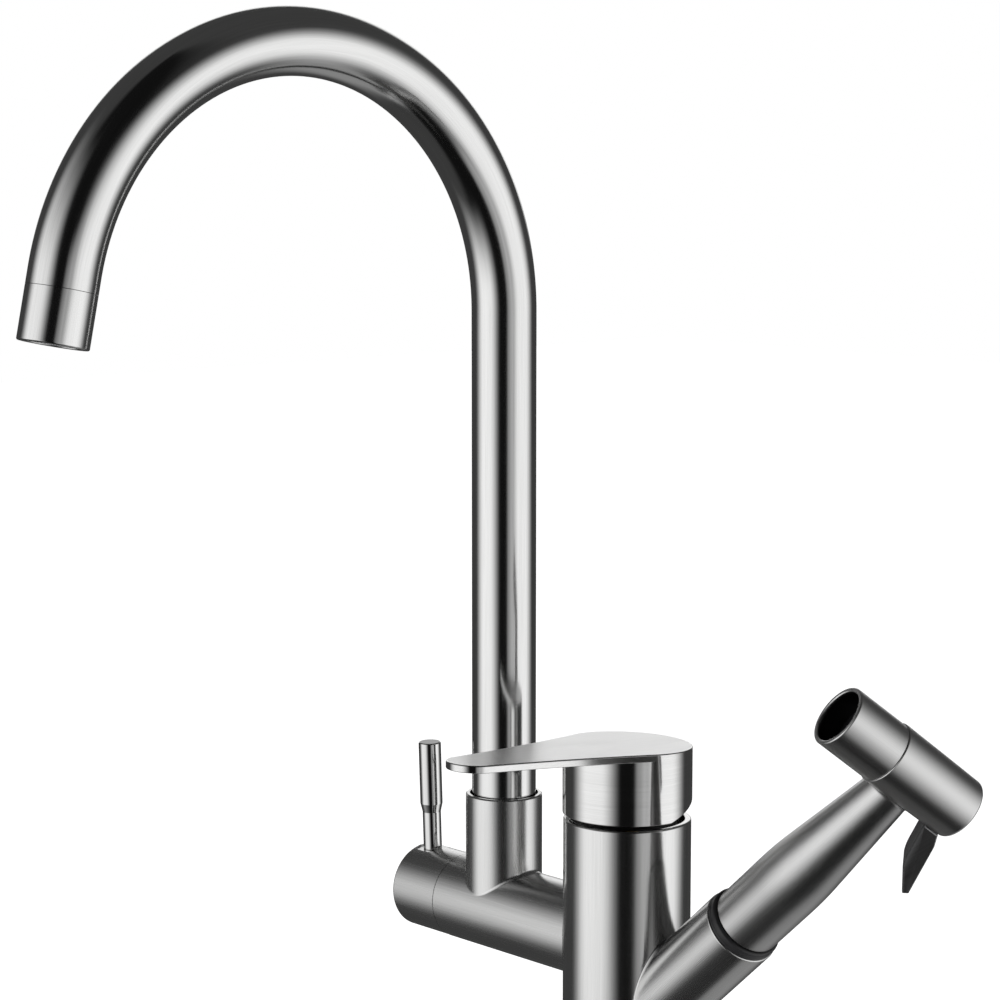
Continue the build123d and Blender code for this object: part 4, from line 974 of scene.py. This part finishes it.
bpy.data.objects.remove(capCup)
around = np.arctan2(points[:, 1], points[:, 0]) * lever["radius"]
cup = (points, normals, faces, np.column_stack([points[:, 2], 0 * around, around]))
leverHandle = joinShells("leverHandle", leverPlace, [plate, cup])
dress(leverHandle, "mixer_lever", "handleSteel", "handle_steel", "handle")
# the plate's flat top gets the satin finish with its painted highlight
leverHandle.data.materials.append(finishes["leverSatinAndHighlight"])
plateFace = (2 * lever["edgeSteps"] + 1) * len(outline)  # the flat top comes after the edge's faces
leverHandle.data.polygons[plateFace].material_index = 1

# Index plug in the cap's back
plug = {"height": 146.5, "radius": 3.2, "inner": 22.2, "outer": 24.5, "crown": 24.55}
plugLine = placeOf((0, 0, plug["height"]), -leverWay, (0, 0, 1))
indexPlug = turnedPiece("indexPlug", plugLine, [
    (0, plug["inner"], 0), (plug["radius"], plug["inner"], 0.1), (plug["radius"], plug["outer"], 0.35),
    (0, plug["crown"], 0)], sides=64)
dress(indexPlug, "mixer_lever", "guideBlack", "black_plastic", "index_plug")

# Trigger: a bevelled blade with the fork that draws the plunger back
blade = {"half": 4.0, "bevel": 0.35, "crease": 20, "outline": (
    (5.2, 13.9), (10.4, 14.6), (11.0, 17.6), (11.6, 19.1), (26.6, 26.4), (28.3, 27.3), (29.9, 28.3),
    (31.2, 29.15), (32.4, 30.1), (41.4, 39.0), (42.0, 39.8), (40.4, 41.3), (18.7, 30.6), (16.9, 29.7),
    (12.0, 26.3), (12.0, 20.4), (5.2, 17.1)),
    "fork": {"half": 3.6, "top": 1.5, "foot": -5.2, "front": -13.9, "back": -17.1, "notch": 1.85,
             "notchFoot": -2.2, "bevel": 0.2}}
fork = blade["fork"]
bladePlace = placeOf(head.translation, headAcross, -headWay.cross(headAcross))
bladeEdge = np.array(blade["outline"])
points, normals, faces = slabShell(bladeEdge, mitredWays(bladeEdge), -blade["half"], blade["half"],
                                   blade["bevel"], blade["bevel"])
bladeShell = (points, normals, faces, points[:, lengthwise])
half, notch = fork["half"], fork["notch"]
forkEdge = np.array([
    (-half, fork["foot"]), (half, fork["foot"]), (half, fork["top"]), (notch, fork["top"]),
    (notch, fork["notchFoot"]), (-notch, fork["notchFoot"]), (-notch, fork["top"]), (-half, fork["top"])])
points, normals, faces = slabShell(forkEdge, mitredWays(forkEdge), fork["back"], fork["front"],
                                   fork["bevel"], fork["bevel"])
forkPlace = bladePlace.inverted() @ head
forkTurn = np.array(forkPlace.to_3x3())
points = points @ forkTurn.T + np.array(forkPlace.translation)
forkShell = (points, normals @ forkTurn.T, faces, points)
trigger = joinShells("triggerBlade", bladePlace, [bladeShell, forkShell])
trigger.data.normals_split_custom_set([(0, 0, 0)] * len(trigger.data.loops))
trigger.data.set_sharp_from_angle(angle=radians(blade["crease"]))
dress(trigger, "spray_trigger", "triggerPaintedReflection", "trigger_steel", "trigger")
print("handle and trigger ready")

# Return spring of the valve, built at rest; the real spring shortens as the plunger is drawn back
spring = {"foot": -7.0, "top": 5.7, "radius": 3.9, "wire": 0.45, "turns": 5.0, "travel": 1.7,
          "resolution": 40, "sides": 14}


def coilSpring():
    sizes = {"Radius": spring["radius"] * mm, "Wire": spring["wire"] * mm, "Turns": spring["turns"],
             "Length": (spring["top"] - spring["foot"] - 2 * spring["wire"]) * mm,
             "Resolution": spring["resolution"], "Sides": spring["sides"]}
    group, tree, given = newTree("coilSpring", sizes)
    radius = given.pick("Radius")
    line = tree.node("GeometryNodeCurveSpiral", {}, {
        "Resolution": given.pick("Resolution"), "Rotations": given.pick("Turns"), "Start Radius": radius,
        "End Radius": radius, "Height": given.pick("Length")})
    wire = tree.node("GeometryNodeCurvePrimitiveCircle", {}, {
        "Resolution": given.pick("Sides"), "Radius": given.pick("Wire")})
    coil = tree.node("GeometryNodeCurveToMesh", {}, {
        "Curve": line, "Profile Curve": wire, "Fill Caps": True})
    closeTree(tree, coil, "fixingSteel")
    return runTree("returnSpring", group, sizes)


returnSpring = coilSpring()
seat = head @ Matrix.Translation((0, 0, spring["foot"] + spring["wire"]))
seat.translation *= mm
returnSpring.data.transform(seat)
dress(returnSpring, "spray_gun", "fixingSteel", "fixing_steel", "return_spring")
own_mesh(returnSpring)
print("spring ready")

# CAD nodes that keep their shape get their finish here
carried = {
    "armSteel": ["side_arm", "diverter_cap"],
    "fixingSteel": ["trigger_pin", "clamp_washer", "spout_screw", "handle_screw", "stem_pin",
                    "swivel_clip", "valve_plunger"],
    "brass": ["mounting_shank", "lock_nut", "cartridge_seat", "cartridge_nut", "diverter_housing",
              "diverter_nut", "return_tube", "diverter_spindle", "spout_fitting", "cartridge_stem",
              "hose_connector", "valve_gland"],
    "nozzleBlack": ["spray_plate"],
    "greyPlastic": ["cartridge_housing", "cartridge_base", "cartridge_carrier", "slip_ring",
                    "swivel_bush", "grip_waterway", "check_valve", "aerator_insert"],
    "ceramic": ["fixed_disc", "moving_disc"],
    "rubber": ["base_gasket", "rubber_washer", "spout_o_rings", "aerator_washer", "diverter_o_rings",
               "cartridge_seals", "connector_o_ring", "nozzle_gasket", "gland_o_ring", "valve_seal"],
}
for finish, nodes in carried.items():
    for node in nodes:
        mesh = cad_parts[node].data
        mesh.materials.clear()
        mesh.materials.append(finishes[finish])
print("carried nodes:", sum(len(nodes) for nodes in carried.values()))
